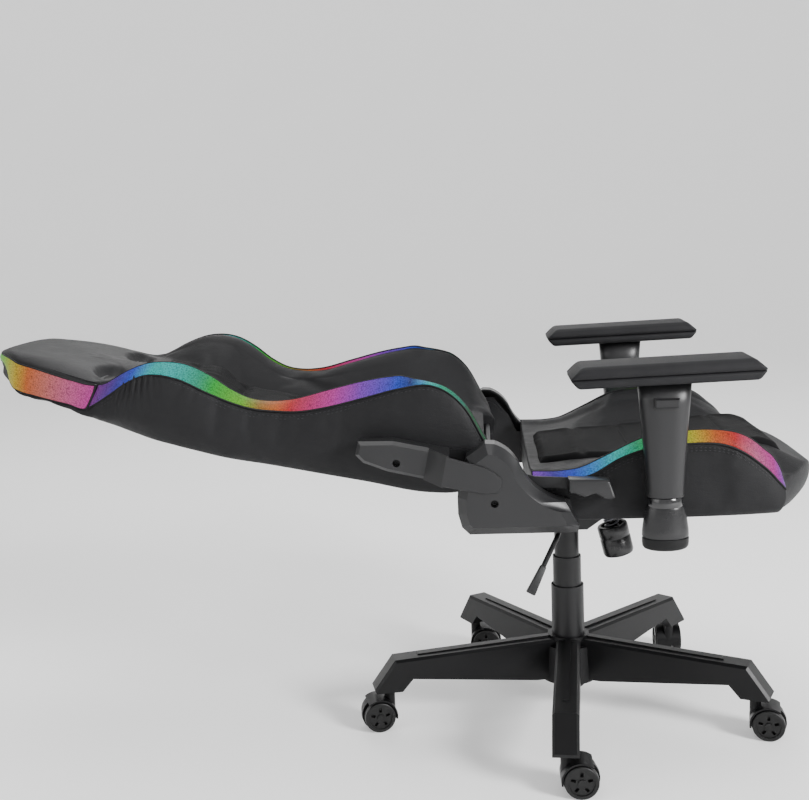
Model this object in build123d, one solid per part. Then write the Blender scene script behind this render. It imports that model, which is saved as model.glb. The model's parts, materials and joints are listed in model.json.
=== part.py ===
"""Reclining gaming chair, as separate sub-parts.

Millimetres. The origin is on the floor under the gas lift. +Z is up, the chair faces -Y,
and the sitter's left is +X. The backrest is stored laid back, as in its lowest notch.
Left-hand pieces are modelled on the +X side, and right-hand ones are their mirror images.
"""
import os
from math import cos, radians, sin

from build123d import *

os.makedirs("parts", exist_ok=True)

# ---------------------------------------------------------------- driving dimensions
CONTACT_GAP = 0.3          # between faces that pass each other
RUNNING_GAP = 0.05         # radial, a shaft in its bore

# Star base
LEG_COUNT = 5
FIRST_LEG_ANGLE = 174.86   # about +Z from +X
BASE_REACH = 331.0         # column axis to leg tip
LEG_END_RUN = 35.0         # length of the sloped leg end
LEG_HALF_WIDTH = 19.5
LEG_WALL = 5.0
LEG_DEPTH = 33.0
LEG_END_HEIGHT = 53.0      # leg top above its underside, at the caster
HUB_RISE = 14.0            # hub top above the leg tops at the casters
HUB_HEIGHT = 75.0
HUB_WALL = 9.0
SKIRT_WALL = 12.0

# Casters
WHEEL_RADIUS = 25.0
WHEEL_WIDTH = 14.0
WHEEL_INNER = 9.5          # inner face of a wheel from the caster's middle
CASTER_INSET = 26.0        # leg tip to stem
CASTER_TRAIL = 20.0
CASTER_HEADINGS = (-90.0, -102.0, 0.0, -92.0, 105.0)
STEM_RADIUS = 5.5
STEM_GRIP = 24.0           # stem inside the leg
LEG_CLEARANCE = 14.0       # top of a wheel to the underside of the leg
HOOD_WALL = 2.5
HOOD_GAP = 1.5
AXLE_RADIUS = 3.0

# Gas lift and its covers
PISTON_RADIUS = 14.0
ROD_RADIUS = 4.0
TUBE_NECK_WALL = 3.0
TUBE_SHOULDER = 8.0        # lower, thicker part of the tube beyond its neck
TUBE_NECK_HEIGHT = 74.0
TUBE_FLOOR = 42.0          # its lower end above the floor
LIFT_TOP = 348.0
COVER_WALL = 1.6
COVER_GAP = 1.5            # between telescoping covers, and to the tube's neck
LOWER_COVER_HEIGHT = 84.0
MIDDLE_COVER_SPAN = (165.0, 264.0)
UPPER_COVER_SPAN = (200.0, 318.0)

# Seat mechanism
TILT_Y = -42.0
TILT_Z = 352.0
TILT_PIN_RADIUS = 5.0
HOUSING_HALF_WIDTH = 48.0
PLATE_HALF_WIDTH = 100.0
PLATE_BOTTOM = 372.0
PLATE_THICKNESS = 6.0
EAR_THICKNESS = 4.0
KNOB_RADIUS = 25.0
KNOB_LENGTH = 52.0
KNOB_BASE = (-86.0, 264.0)  # centre of its lower face, as (y, z)
KNOB_LEAN = 12.7            # degrees, its lower end forward
KNOB_BOLT_RADIUS = 4.0
SPRING_RADIUS = 11.0
SPRING_WIRE = 1.6
LEVER_ROD_RADIUS = 4.0

# Seat
SEAT_HALF_WIDTH = 230.0
SEAT_BOTTOM = 383.0
SEAT_REAR = 64.0           # rear end, as y
SEAT_NOSE = -388.0         # front end, as y
BOLSTER_FRONT = -326.0
BOLSTER_WIDTH = 80.0
FRAME_INSET = 35.0         # side of the cushion to the frame
FRAME_TUBE = 22.0
TUBE_WALL = 1.8
FRAME_REAR = 50.0
FRAME_FRONT = -290.0
STRAP_WIDTH = 40.0
STRAP_COUNT = 5
STRIP_THICKNESS = 3.0
STRIP_HEIGHT = 17.0

# Recliner
PIVOT_Y = 125.0
PIVOT_Z = 460.0
REST_ANGLE = 12.4          # backrest above the horizontal, at rest
PIVOT_RADIUS = 5.0
BACK_INSET = 6.0           # backrest narrower than the seat, each side
HINGE_PLATE = 5.0          # thickness of each hinge plate
LEVER_PLATE = 3.0
SEAT_COVER_DEPTH = 44.0
SEAT_COVER_BEVEL = 13.0
BACK_COVER_DEPTH = 33.0
BACK_COVER_BEVEL = 5.0
COVER_ARM_THICKNESS = 3.0  # arm of the back cover, over the seat cover's face
SHELL_WALL = 3.0
SCREW_HEAD_RADIUS = 5.0
SCREW_SHANK_RADIUS = 3.0

# Backrest, in its own side view: u from the pivot to the head, t towards the sitter
BACK_LENGTH = 810.0
HEAD_START = 560.0
HEAD_FRONT = 24.0          # its front face, as t
BACK_RAIL_INSET = 34.0
HEAD_INSET = 37.0          # head panel narrower than the wings, each side

# Armrests
ARM_Y = -121.0
ARM_CLEARANCE = 10.0       # side of the seat to the sleeve
PAD_LENGTH = 268.0
PAD_HALF_WIDTH = 47.0
PAD_TIP_Z = 601.0
PAD_SLOPE = 1.5            # degrees, front end up
PAD_UPPER = 17.0           # above the tip line
PAD_LOWER = 13.0           # below the tip line
PAD_END_RUN = 18.0
SLEEVE_DEPTH = 44.0        # across the chair
SLEEVE_TOP_LENGTH = 79.0
SLEEVE_FOOT_LENGTH = 56.0
SLEEVE_FOOT_Z = 425.0
SLEEVE_WALL = 2.5
POST_LENGTH = 46.0
POST_DEPTH = 26.0
POST_TOP = 560.0
CUP_TOP = 421.0
CUP_BOTTOM = 348.0
CUP_LENGTH = 65.0
TRIGGER_LENGTH = 34.0
TRIGGER_HEIGHT = 13.0
TRIGGER_Z = 560.0

# ---------------------------------------------------------------- sizes that follow
BOSS_BOTTOM = 2 * WHEEL_RADIUS + LEG_CLEARANCE
LEG_TOP_END = BOSS_BOTTOM + LEG_END_HEIGHT
HUB_TOP = LEG_TOP_END + HUB_RISE
HUB_BOTTOM = HUB_TOP - HUB_HEIGHT
LEG_TOP_HUB = HUB_TOP - 3
CASTER_RADIUS = BASE_REACH - CASTER_INSET
STEM_TOP = BOSS_BOTTOM + STEM_GRIP
STEM_FOOT = WHEEL_RADIUS + 12
TUBE_NECK_RADIUS = PISTON_RADIUS + TUBE_NECK_WALL
TUBE_RADIUS = TUBE_NECK_RADIUS + TUBE_SHOULDER
TUBE_NECK_TOP = HUB_TOP + TUBE_NECK_HEIGHT
HUB_RADIUS = TUBE_RADIUS + HUB_WALL
HUB_SKIRT_RADIUS = HUB_RADIUS + SKIRT_WALL
UPPER_COVER_RADIUS = TUBE_NECK_RADIUS + COVER_GAP + COVER_WALL
MIDDLE_COVER_RADIUS = UPPER_COVER_RADIUS + COVER_GAP + COVER_WALL
LOWER_COVER_RADIUS = MIDDLE_COVER_RADIUS + COVER_GAP + COVER_WALL + 0.5
LOWER_COVER_TOP = HUB_TOP + LOWER_COVER_HEIGHT
PANEL_HALF_WIDTH = SEAT_HALF_WIDTH - BOLSTER_WIDTH
FRAME_HALF_WIDTH = SEAT_HALF_WIDTH - FRAME_INSET
BACK_HALF_WIDTH = SEAT_HALF_WIDTH - BACK_INSET
BACK_RAIL_X = BACK_HALF_WIDTH - BACK_RAIL_INSET
HEAD_HALF_WIDTH = BACK_HALF_WIDTH - HEAD_INSET
BACK_PLATE = (BACK_HALF_WIDTH, BACK_HALF_WIDTH + HINGE_PLATE)
SEAT_HINGE = (BACK_PLATE[1] + 2, BACK_PLATE[1] + 2 + HINGE_PLATE)
LEVER_ARM = (SEAT_HINGE[1] + 1.5, SEAT_HINGE[1] + 1.5 + LEVER_PLATE)
SEAT_COVER = (LEVER_ARM[1] + 1.5, LEVER_ARM[1] + 1.5 + SEAT_COVER_DEPTH)
BACK_COVER = (BACK_PLATE[1], BACK_PLATE[1] + BACK_COVER_DEPTH)
COVER_ARM = (SEAT_COVER[1] + 2 * CONTACT_GAP, SEAT_COVER[1] + 2 * CONTACT_GAP + COVER_ARM_THICKNESS)
ARM_X = SEAT_HALF_WIDTH + ARM_CLEARANCE + SLEEVE_DEPTH / 2

PARTS = {}

BACK_PLANE = Plane(
    origin=(0, PIVOT_Y, PIVOT_Z),
    x_dir=(0, cos(radians(REST_ANGLE)), sin(radians(REST_ANGLE))),
    z_dir=(1, 0, 0),
)


# ---------------------------------------------------------------- helpers
def keep(name, *solids):
    """Store one sub-part: one solid, or a group of separate ones."""
    PARTS[name] = solids[0] if len(solids) == 1 else Compound(children=list(solids))


def keep_pair(name, *solids):
    """Store a left-hand sub-part and its mirror image."""
    keep(name + "_left", *solids)
    keep(name + "_right", *[mirror(solid, Plane.YZ) for solid in solids])


def outline(points):
    return make_face(Polyline(*points, close=True))


def side_slab(points, x_low, x_high, plane=Plane.YZ):
    """Slab with a side-view outline, between two distances across the chair."""
    return extrude(plane.offset(x_low) * outline(points), x_high - x_low)


def bar(x_span, y_span, z_span):
    """Box between two corners."""
    spans = (x_span, y_span, z_span)
    size = [high - low for low, high in spans]
    middle = [(high + low) / 2 for low, high in spans]
    return Pos(*middle) * Box(*size)


def upright(radius, z_low, z_high, x=0.0, y=0.0):
    """Vertical cylinder between two heights."""
    return Pos(x, y, (z_low + z_high) / 2) * Cylinder(radius, z_high - z_low)


def across(radius, x_low, x_high, y, z):
    """Cylinder that lies across the chair."""
    return Pos((x_low + x_high) / 2, y, z) * Rot(0, 90, 0) * Cylinder(radius, x_high - x_low)


def back_point(u, t):
    """(y, z) of a point given in the backrest's side view."""
    turn = radians(REST_ANGLE)
    return (PIVOT_Y + u * cos(turn) - t * sin(turn), PIVOT_Z + u * sin(turn) + t * cos(turn))


def moulded_cover(face, x_span, inset, plane=Plane.YZ):
    """Shell with bevelled outer edges, open towards the chair's middle."""
    low, high = x_span
    crown = inset + 1
    shoulder = high - crown
    outer = extrude(plane.offset(low) * face, shoulder - low)
    crown_face = offset(face, -inset, kind=Kind.INTERSECTION)
    outer += loft([plane.offset(shoulder) * face, plane.offset(high) * crown_face], ruled=True)
    hollow = offset(face, -SHELL_WALL, kind=Kind.INTERSECTION)
    cover = outer - extrude(plane.offset(low) * hollow, shoulder - SHELL_WALL - low)
    roof_hollow = offset(face, -SHELL_WALL - inset, kind=Kind.INTERSECTION)
    roof_low = plane.offset(shoulder - SHELL_WALL)
    return cover - extrude(roof_low * roof_hollow, crown)


# ---------------------------------------------------------------- star base
def leg_angle(index):
    return FIRST_LEG_ANGLE + index * 360.0 / LEG_COUNT


def leg():
    """One leg along +X: a channel, open underneath, with a solid boss for the caster's stem."""
    knee = BASE_REACH - LEG_END_RUN
    boss_start = CASTER_RADIUS - LEG_HALF_WIDTH
    side = [
        (10, LEG_TOP_HUB), (knee, LEG_TOP_END), (BASE_REACH, BOSS_BOTTOM + 6),
        (BASE_REACH - 3, BOSS_BOTTOM), (boss_start, BOSS_BOTTOM),
        (boss_start - 18, LEG_TOP_END - LEG_DEPTH), (HUB_SKIRT_RADIUS + 14, HUB_BOTTOM + 4),
        (10, HUB_BOTTOM + 4),
    ]
    half = LEG_HALF_WIDTH
    body = extrude(Plane.XZ.offset(-half) * outline(side), 2 * half)
    top_edges = body.edges().filter_by(lambda edge: edge.center().Z > BOSS_BOTTOM + 20)
    long_edges = [edge for edge in top_edges if abs(abs(edge.center().Y) - half) < 0.1
                  and edge.length > LEG_END_RUN and edge.center().Z > LEG_TOP_END - 28]
    body = chamfer(long_edges, LEG_WALL - 1)
    channel_end = boss_start - 22
    channel = [
        (HUB_SKIRT_RADIUS - 6, HUB_BOTTOM - 10), (HUB_SKIRT_RADIUS - 6, LEG_TOP_HUB - 14),
        (channel_end, LEG_TOP_END - 12), (channel_end, HUB_BOTTOM - 10),
    ]
    inner = half - LEG_WALL
    body -= extrude(Plane.XZ.offset(-inner) * outline(channel), 2 * inner)
    rib_root = LEG_TOP_HUB - 6
    rib = [(20, rib_root), (20, HUB_TOP), (knee - 40, LEG_TOP_END + 3.5), (knee - 34, LEG_TOP_END - 4)]
    return body + extrude(Plane.XZ.offset(-5) * outline(rib), 10)


def star_base():
    hub = upright(HUB_RADIUS, HUB_BOTTOM, HUB_TOP)
    skirt_height = 60.0
    skirt_cone = Cone(HUB_SKIRT_RADIUS, HUB_SKIRT_RADIUS - 3, skirt_height)
    skirt = Pos(0, 0, HUB_BOTTOM + skirt_height / 2) * skirt_cone
    body = hub + skirt
    one_leg = leg()
    for index in range(LEG_COUNT):
        body += Rot(0, 0, leg_angle(index)) * one_leg
    body -= upright(TUBE_RADIUS, HUB_BOTTOM - 10, HUB_TOP + 10)
    for index in range(LEG_COUNT):
        hole = upright(STEM_RADIUS, BOSS_BOTTOM - 5, STEM_TOP, CASTER_RADIUS)
        body -= Rot(0, 0, leg_angle(index)) * hole
    keep("star_base", body)


# ---------------------------------------------------------------- casters
def caster_place(index):
    """Turns and moves a caster modelled at the origin, trailing along +X, under its leg."""
    turn = radians(leg_angle(index))
    place = Pos(CASTER_RADIUS * cos(turn), CASTER_RADIUS * sin(turn), 0)
    return place * Rot(0, 0, CASTER_HEADINGS[index])


def caster_stems():
    stems = []
    for index in range(LEG_COUNT):
        pin = upright(STEM_RADIUS, STEM_FOOT, STEM_TOP - 1)
        collar = upright(STEM_RADIUS + 2.5, BOSS_BOTTOM - 1.5, BOSS_BOTTOM)
        stems.append(caster_place(index) * (pin + collar))
    keep("caster_stems", *stems)


def caster_hood():
    """Web between the wheels, stem socket and the guard over the wheels."""
    width = WHEEL_INNER + WHEEL_WIDTH - 2
    inner = WHEEL_RADIUS + HOOD_GAP
    outer = inner + HOOD_WALL
    centre = Pos(CASTER_TRAIL, 0, WHEEL_RADIUS) * Rot(90, 0, 0)
    web = centre * Cylinder(inner + 1, WHEEL_INNER - 1)
    guard = centre * Cylinder(outer, 2 * width) - centre * Cylinder(inner, 2 * width + 4)
    front_cut = Pos(CASTER_TRAIL, 0, WHEEL_RADIUS) * Rot(0, 38, 0) * Pos(60, 0, 0) * Box(120, 80, 120)
    floor_cut = bar((-60, 90), (-40, 40), (-20, WHEEL_RADIUS - 5))
    guard = guard - front_cut - floor_cut
    web -= bar((-60, 90), (-40, 40), (-20, 6))
    socket = upright(STEM_RADIUS + 3.2, WHEEL_RADIUS + 3, BOSS_BOTTOM - 2)
    body = web + guard + socket
    body -= upright(STEM_RADIUS + RUNNING_GAP, STEM_FOOT - 1, BOSS_BOTTOM + 5)
    return body - centre * Cylinder(AXLE_RADIUS + RUNNING_GAP, 60)


def caster_wheels():
    """Two wheels with slotted outer faces, on the axle that they turn with."""
    centre = Pos(CASTER_TRAIL, 0, WHEEL_RADIUS) * Rot(90, 0, 0)
    outer_face = WHEEL_INNER + WHEEL_WIDTH
    tyre = Cylinder(WHEEL_RADIUS, WHEEL_WIDTH)
    rim = tyre.edges().filter_by(GeomType.CIRCLE)
    disc = Pos(0, 0, WHEEL_INNER + WHEEL_WIDTH / 2) * fillet(rim, 2.5)
    hub = Pos(0, 0, (WHEEL_INNER + 5) / 2) * Cylinder(8, WHEEL_INNER - 5)
    dish = Pos(0, 0, outer_face - 1) * (Cylinder(WHEEL_RADIUS - 6, 2) - Cylinder(5.5, 2))
    wheel = disc + hub - dish
    for index in range(5):
        slot = Pos(WHEEL_RADIUS / 2, 0, outer_face - 4) * Box(7, 4.5, 8)
        wheel -= Rot(0, 0, 90 + index * 72) * slot
    axle_end = outer_face - 4
    wheel -= Pos(0, 0, axle_end / 2) * Cylinder(AXLE_RADIUS, axle_end)
    other = mirror(wheel, Plane.XY)
    axle = Cylinder(AXLE_RADIUS, 2 * axle_end)
    return [centre * solid for solid in (wheel, other, axle)]


def casters():
    hood = caster_hood()
    wheels = caster_wheels()
    for index in range(LEG_COUNT):
        place = caster_place(index)
        keep(f"caster_hood_{index + 1}", place * hood)
        keep(f"caster_wheels_{index + 1}", *[place * solid for solid in wheels])


# ---------------------------------------------------------------- gas lift
def gas_lift():
    bore = PISTON_RADIUS + RUNNING_GAP
    tube = upright(TUBE_RADIUS, TUBE_FLOOR, HUB_TOP) + upright(TUBE_NECK_RADIUS, HUB_TOP, TUBE_NECK_TOP)
    tube -= upright(bore, TUBE_FLOOR + 4, TUBE_NECK_TOP + 5)
    keep("lift_outer_tube", tube)
    keep("lift_piston_rod", upright(ROD_RADIUS, TUBE_FLOOR + 4 + CONTACT_GAP, TUBE_NECK_TOP + 20))
    cylinder = upright(PISTON_RADIUS, HUB_TOP - 19, LIFT_TOP) - upright(ROD_RADIUS + 4, 100, LIFT_TOP - 20)
    keep("lift_inner_cylinder", cylinder)
    sleeves = (
        ("lower_column_cover", LOWER_COVER_RADIUS, (HUB_TOP, LOWER_COVER_TOP)),
        ("middle_column_cover", MIDDLE_COVER_RADIUS, MIDDLE_COVER_SPAN),
        ("upper_column_cover", UPPER_COVER_RADIUS, UPPER_COVER_SPAN),
    )
    for name, radius, (low, high) in sleeves:
        keep(name, upright(radius, low, high) - upright(radius - COVER_WALL, low - 5, high + 5))


# ---------------------------------------------------------------- seat mechanism
def knob_axis():
    """Frame at the centre of the knob's lower face, its Z up the bolt."""
    return Pos(0, *KNOB_BASE) * Rot(-KNOB_LEAN, 0, 0)


def mechanism():
    front = -96.0
    side = [
        (48, 319), (48, 338), (-20, 352), (-34, 362), (-56, 362), (front, 346),
        (front, 340), (-60, 340), (-30, 319),
    ]
    half = HOUSING_HALF_WIDTH
    housing = side_slab(side, -half, half)
    sheet = 3.5
    inside = offset(outline(side), -sheet, kind=Kind.INTERSECTION)
    housing -= extrude(Plane.YZ.offset(sheet - half) * inside, 2 * (half - sheet))
    housing += upright(TUBE_NECK_RADIUS + 4, 310, LIFT_TOP + 2)
    housing -= upright(PISTON_RADIUS, 300, LIFT_TOP + 5)
    housing -= across(TILT_PIN_RADIUS, -half - 5, half + 5, TILT_Y, TILT_Z)
    bolt_hole = 11.0
    housing -= knob_axis() * Pos(0, 0, 85) * Cylinder(bolt_hole, 50)
    housing -= upright(UPPER_COVER_RADIUS + 2, 300, UPPER_COVER_SPAN[1] + CONTACT_GAP)
    keep("mechanism_housing", housing)
    pin_reach = half + 2 + EAR_THICKNESS + 3
    keep("tilt_pin", across(TILT_PIN_RADIUS, -pin_reach, pin_reach, TILT_Y, TILT_Z))

    plate_top = PLATE_BOTTOM + PLATE_THICKNESS
    plate_width = (-PLATE_HALF_WIDTH, PLATE_HALF_WIDTH)
    plate = bar(plate_width, (-FRAME_REAR - 75, FRAME_REAR + 8), (PLATE_BOTTOM, plate_top))
    ear = [
        (TILT_Y + 20, PLATE_BOTTOM + 2), (TILT_Y + 18, 350), (TILT_Y + 10, 341),
        (TILT_Y - 10, 341), (TILT_Y - 18, 350), (TILT_Y - 20, PLATE_BOTTOM + 2),
    ]
    ear_low = half + 1.5
    for direction in (-1, 1):
        span = sorted((direction * ear_low, direction * (ear_low + EAR_THICKNESS)))
        plate += side_slab(ear, *span)
    plate -= across(TILT_PIN_RADIUS + RUNNING_GAP, -70, 70, TILT_Y, TILT_Z)
    plate -= knob_axis() * Pos(0, 0, 110) * Cylinder(KNOB_BOLT_RADIUS + RUNNING_GAP, 40)
    keep("seat_plate", plate)


def tension_knob():
    knob = Cylinder(KNOB_RADIUS, KNOB_LENGTH, align=(Align.CENTER, Align.CENTER, Align.MIN))
    knob = chamfer(knob.edges().filter_by(GeomType.CIRCLE), 2)
    for index in range(12):
        groove = Rot(0, 0, index * 30) * Pos(KNOB_RADIUS + 2.2, 0, 14) * Cylinder(3.2, 30)
        knob -= groove
    cup_depth = 30.0
    knob -= Pos(0, 0, KNOB_LENGTH - cup_depth / 2) * Cylinder(SPRING_RADIUS + 6, cup_depth)
    bolt_top = 112.0
    floor = KNOB_LENGTH - cup_depth
    knob += Pos(0, 0, (floor + bolt_top) / 2) * Cylinder(KNOB_BOLT_RADIUS, bolt_top - floor)
    keep("tension_knob", knob_axis() * knob)

    low, high = floor + SPRING_WIRE + CONTACT_GAP, 75.0
    turns = 6
    helix = Helix(pitch=(high - low) / turns, height=high - low, radius=SPRING_RADIUS)
    wire = Plane(origin=helix @ 0, z_dir=helix % 0) * Circle(SPRING_WIRE)
    keep("tension_spring", knob_axis() * Pos(0, 0, low) * sweep(wire, path=helix, is_frenet=True))


def lift_lever():
    """Rod out of the mechanism's right side, and its flattened grip, bent downwards."""
    start = HOUSING_HALF_WIDTH + 1.5
    route = [(-start, 10, 334), (-132, 23, 332), (-149, 46, 291)]
    path = FilletPolyline(*route, radius=14)
    rod = sweep(Plane(origin=path @ 0, z_dir=path % 0) * Circle(LEVER_ROD_RADIUS), path=path)
    keep("lift_lever", rod)
    grip_length = 47.0
    end = Plane(origin=path @ 1, z_dir=path % 1, x_dir=(0, 1, 0.4))
    grip = loft([end * RectangleRounded(10, 8, 2), end.offset(grip_length) * RectangleRounded(15, 9, 2)])
    keep("lift_lever_grip", grip)


# ---------------------------------------------------------------- seat
SEAT_CREST = [
    (SEAT_REAR, 456), (10, 460), (-30, 475), (-65, 498), (-100, 508), (-165, 519),
    (-215, 520), (-262, 505), (-300, 482), (BOLSTER_FRONT, 460), (-320, 438), (-300, 410), (-270, 393),
]
SEAT_SEAM = [
    (SEAT_REAR - 2, 442), (20, 443), (-24, 452), (-61, 473), (-93, 482), (-166, 490),
    (-200, 486), (-233, 474), (-266, 451), (-288, 428), (-299, 414),
]


def seat_frame():
    low, high = PLATE_BOTTOM + PLATE_THICKNESS, PLATE_BOTTOM + PLATE_THICKNESS + FRAME_TUBE
    outer, inner = FRAME_HALF_WIDTH, FRAME_HALF_WIDTH - FRAME_TUBE
    ring = bar((-outer, outer), (FRAME_FRONT, FRAME_REAR), (low, high))
    ring -= bar((-inner, inner), (FRAME_FRONT + FRAME_TUBE, FRAME_REAR - FRAME_TUBE), (low - 5, high + 5))
    rail_front = -FRAME_REAR - 72
    ring += bar((-inner - 1, inner + 1), (rail_front, rail_front + FRAME_TUBE), (low, high))
    wall = TUBE_WALL
    heights = (low + wall, high - wall)
    for sign in (-1, 1):
        span = sorted((sign * (inner + wall), sign * (outer - wall)))
        ring -= bar(span, (FRAME_FRONT + wall, FRAME_REAR - wall), heights)
    for edge in (FRAME_FRONT, rail_front, FRAME_REAR - FRAME_TUBE):
        ring -= bar((-inner - wall - 1, inner + wall + 1), (edge + wall, edge + FRAME_TUBE - wall), heights)
    keep("seat_frame", ring)
    strap_span = FRAME_REAR - FRAME_FRONT - STRAP_WIDTH
    straps = []
    for index in range(STRAP_COUNT):
        y = FRAME_FRONT + STRAP_WIDTH / 2 + index * strap_span / (STRAP_COUNT - 1)
        reach = STRAP_WIDTH / 2 - 2
        straps.append(bar((-outer, outer), (y - reach, y + reach), (high, high + 2)))
    keep("seat_webbing", *straps)


def seat_cushion():
    """Middle panel and two bolsters, with a pocket underneath for the frame."""
    frame_top = PLATE_BOTTOM + PLATE_THICKNESS + FRAME_TUBE
    panel_side = [
        (SEAT_REAR, SEAT_BOTTOM), (SEAT_REAR, 450), (-60, 460), (-180, 468), (-300, 476),
        (-345, 470), (-376, 450), (SEAT_NOSE, 422), (-378, 400), (-345, 390), (-270, 384),
    ]
    pocket = bar(
        (-FRAME_HALF_WIDTH - 2, FRAME_HALF_WIDTH + 2), (FRAME_FRONT - 2, FRAME_REAR + 2),
        (SEAT_BOTTOM - 20, frame_top + 2 + CONTACT_GAP),
    )
    panel = side_slab(panel_side, -PANEL_HALF_WIDTH, PANEL_HALF_WIDTH) - pocket
    bolster_side = SEAT_CREST + [(-200, SEAT_BOTTOM), (SEAT_REAR, SEAT_BOTTOM)]
    bolster = side_slab(bolster_side, PANEL_HALF_WIDTH, SEAT_HALF_WIDTH) - pocket
    keep("seat_cushion", panel, bolster, mirror(bolster, Plane.YZ))
    strip = SEAT_SEAM + [(y, z + STRIP_HEIGHT) for y, z in reversed(SEAT_SEAM[:-2])]
    keep_pair("seat_light", side_slab(strip, SEAT_HALF_WIDTH, SEAT_HALF_WIDTH + STRIP_THICKNESS))


# ---------------------------------------------------------------- recliner
def hinge_plates():
    low, high = SEAT_HINGE
    plate_side = [
        (PIVOT_Y + 34, 440), (PIVOT_Y + 34, 470), (PIVOT_Y + 18, 494), (PIVOT_Y - 14, 494),
        (PIVOT_Y - 40, 462), (70, 430), (10, 416), (2, PLATE_BOTTOM), (150, PLATE_BOTTOM), (158, 392),
    ]
    bracket = side_slab(plate_side, low, high)
    tongue_top = PLATE_BOTTOM + PLATE_THICKNESS - CONTACT_GAP
    bracket += bar((PANEL_HALF_WIDTH, high), (2, 44), (PLATE_BOTTOM, tongue_top))
    bracket -= across(PIVOT_RADIUS + RUNNING_GAP, low - 2, high + 2, PIVOT_Y, PIVOT_Z)
    keep_pair("seat_hinge_plate", bracket)

    low, high = BACK_PLATE
    arm_side = [(0, -24), (24, -24), (150, -18), (186, -12), (186, 10), (150, 17), (24, 24), (0, 24)]
    arm = side_slab(arm_side, low, high, BACK_PLANE)
    arm += across(28, low, high, PIVOT_Y, PIVOT_Z)
    arm -= across(PIVOT_RADIUS, low - 2, high + 2, PIVOT_Y, PIVOT_Z)
    keep_pair("back_hinge_plate", arm)
    rod_reach = SEAT_COVER[0] + 14
    keep("recline_rod", across(PIVOT_RADIUS, -rod_reach, rod_reach, PIVOT_Y, PIVOT_Z))


SEAT_SCREWS = ((119, 424),)                # (y, z) on each seat hinge cover
BACK_SCREWS = ((133, -8),)                 # (u, t) on each back hinge cover
SCREW_SINK = 10.0                          # cover's face to the screw's head


def screw(x_head, x_tip, y, z):
    """Pan-head screw across the chair, its head outwards."""
    head = across(SCREW_HEAD_RADIUS, x_head - 3, x_head, y, z)
    body = head + across(SCREW_SHANK_RADIUS, x_tip, x_head - 3, y, z)
    return body - across(2, x_head - 1.5, x_head + 1, y, z)


def screw_seat(cover, x_span, y, z, x_head):
    """Adds a screw boss to a cover, with its hole and counterbore."""
    low, high = x_span
    cover += across(SCREW_HEAD_RADIUS + 3, x_head - 14, high, y, z)
    cover -= across(SCREW_SHANK_RADIUS + RUNNING_GAP, low, high + 2, y, z)
    return cover - across(SCREW_HEAD_RADIUS + 0.5, x_head - 3, high + 2, y, z)


def seat_cover_face():
    """Side view of the seat hinge cover, its front edge an S of two arcs."""
    low_arc = ThreePointArc((19, 421), (58, 441), (82, 474))
    high_arc = TangentArc((82, 474), (117, 507), tangent=low_arc % 1)
    rest = Polyline(
        (117, 507), (130, 508), (157, 489), (165, 461), (171, 432), (171, 408), (166, 388), (155, 377),
        (5, 377), (0, 386), (19, 421),
    )
    return make_face([low_arc, high_arc, rest])


def cover_arm():
    """Ramp from the back cover up to its flat arm, whose end turns over the hinge pin."""
    foot, top, ramp_run = 62.0, 22.0, 26.0
    low, high = COVER_ARM
    plan = Plane(origin=BACK_PLANE.origin, x_dir=BACK_PLANE.x_dir, z_dir=BACK_PLANE.y_dir)
    wall = SHELL_WALL
    ramp_end = foot + wall + ramp_run

    shell = outline([
        (foot, -BACK_COVER[0]), (foot, -high), (foot + wall, -high), (ramp_end, -BACK_COVER[1]),
        (ramp_end, -BACK_COVER[0]),
    ])
    hollow = outline([
        (foot + wall, -BACK_COVER[0]), (foot + wall, wall - high), (ramp_end - wall, wall - BACK_COVER[1]),
        (ramp_end - wall, -BACK_COVER[0]),
    ])
    bottom = -top - 2
    ramp = extrude(plan.offset(bottom) * shell, 2 * top + 2)
    ramp -= extrude(plan.offset(bottom + wall) * hollow, 2 * (top + 1 - wall))
    tip = [(-16, 4), (-3, 11), (8, 15), (foot + 1, 20), (foot + 1, -23), (0, -22), (-15, -17), (-18, -6)]
    arm = side_slab(tip, low, high, BACK_PLANE)
    arm = chamfer(arm.faces().sort_by(Axis.X)[-1].edges(), 1)
    return ramp + arm


def hinge_covers():
    cover = moulded_cover(seat_cover_face(), SEAT_COVER, SEAT_COVER_BEVEL)
    head = SEAT_COVER[1] - SCREW_SINK
    screws = []
    for y, z in SEAT_SCREWS:
        cover = screw_seat(cover, SEAT_COVER, y, z, head)
        screws.append(screw(head, head - 22, y, z))
    keep_pair("seat_hinge_cover", cover)
    keep("seat_cover_screws", *screws, *[mirror(item, Plane.YZ) for item in screws])

    back_side = [(62, -24), (143, -23), (180, -17), (193, -8), (193, 12), (144, 22), (62, 22)]
    cover = moulded_cover(outline(back_side), BACK_COVER, BACK_COVER_BEVEL, BACK_PLANE) + cover_arm()
    head = BACK_COVER[1] - SCREW_SINK
    screws = []
    for u, t in BACK_SCREWS:
        y, z = back_point(u, t)
        cover = screw_seat(cover, BACK_COVER, y, z, head)
        screws.append(screw(head, head - 18, y, z))
    keep_pair("back_hinge_cover", cover)
    keep("back_cover_screws", *screws, *[mirror(item, Plane.YZ) for item in screws])


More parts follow.
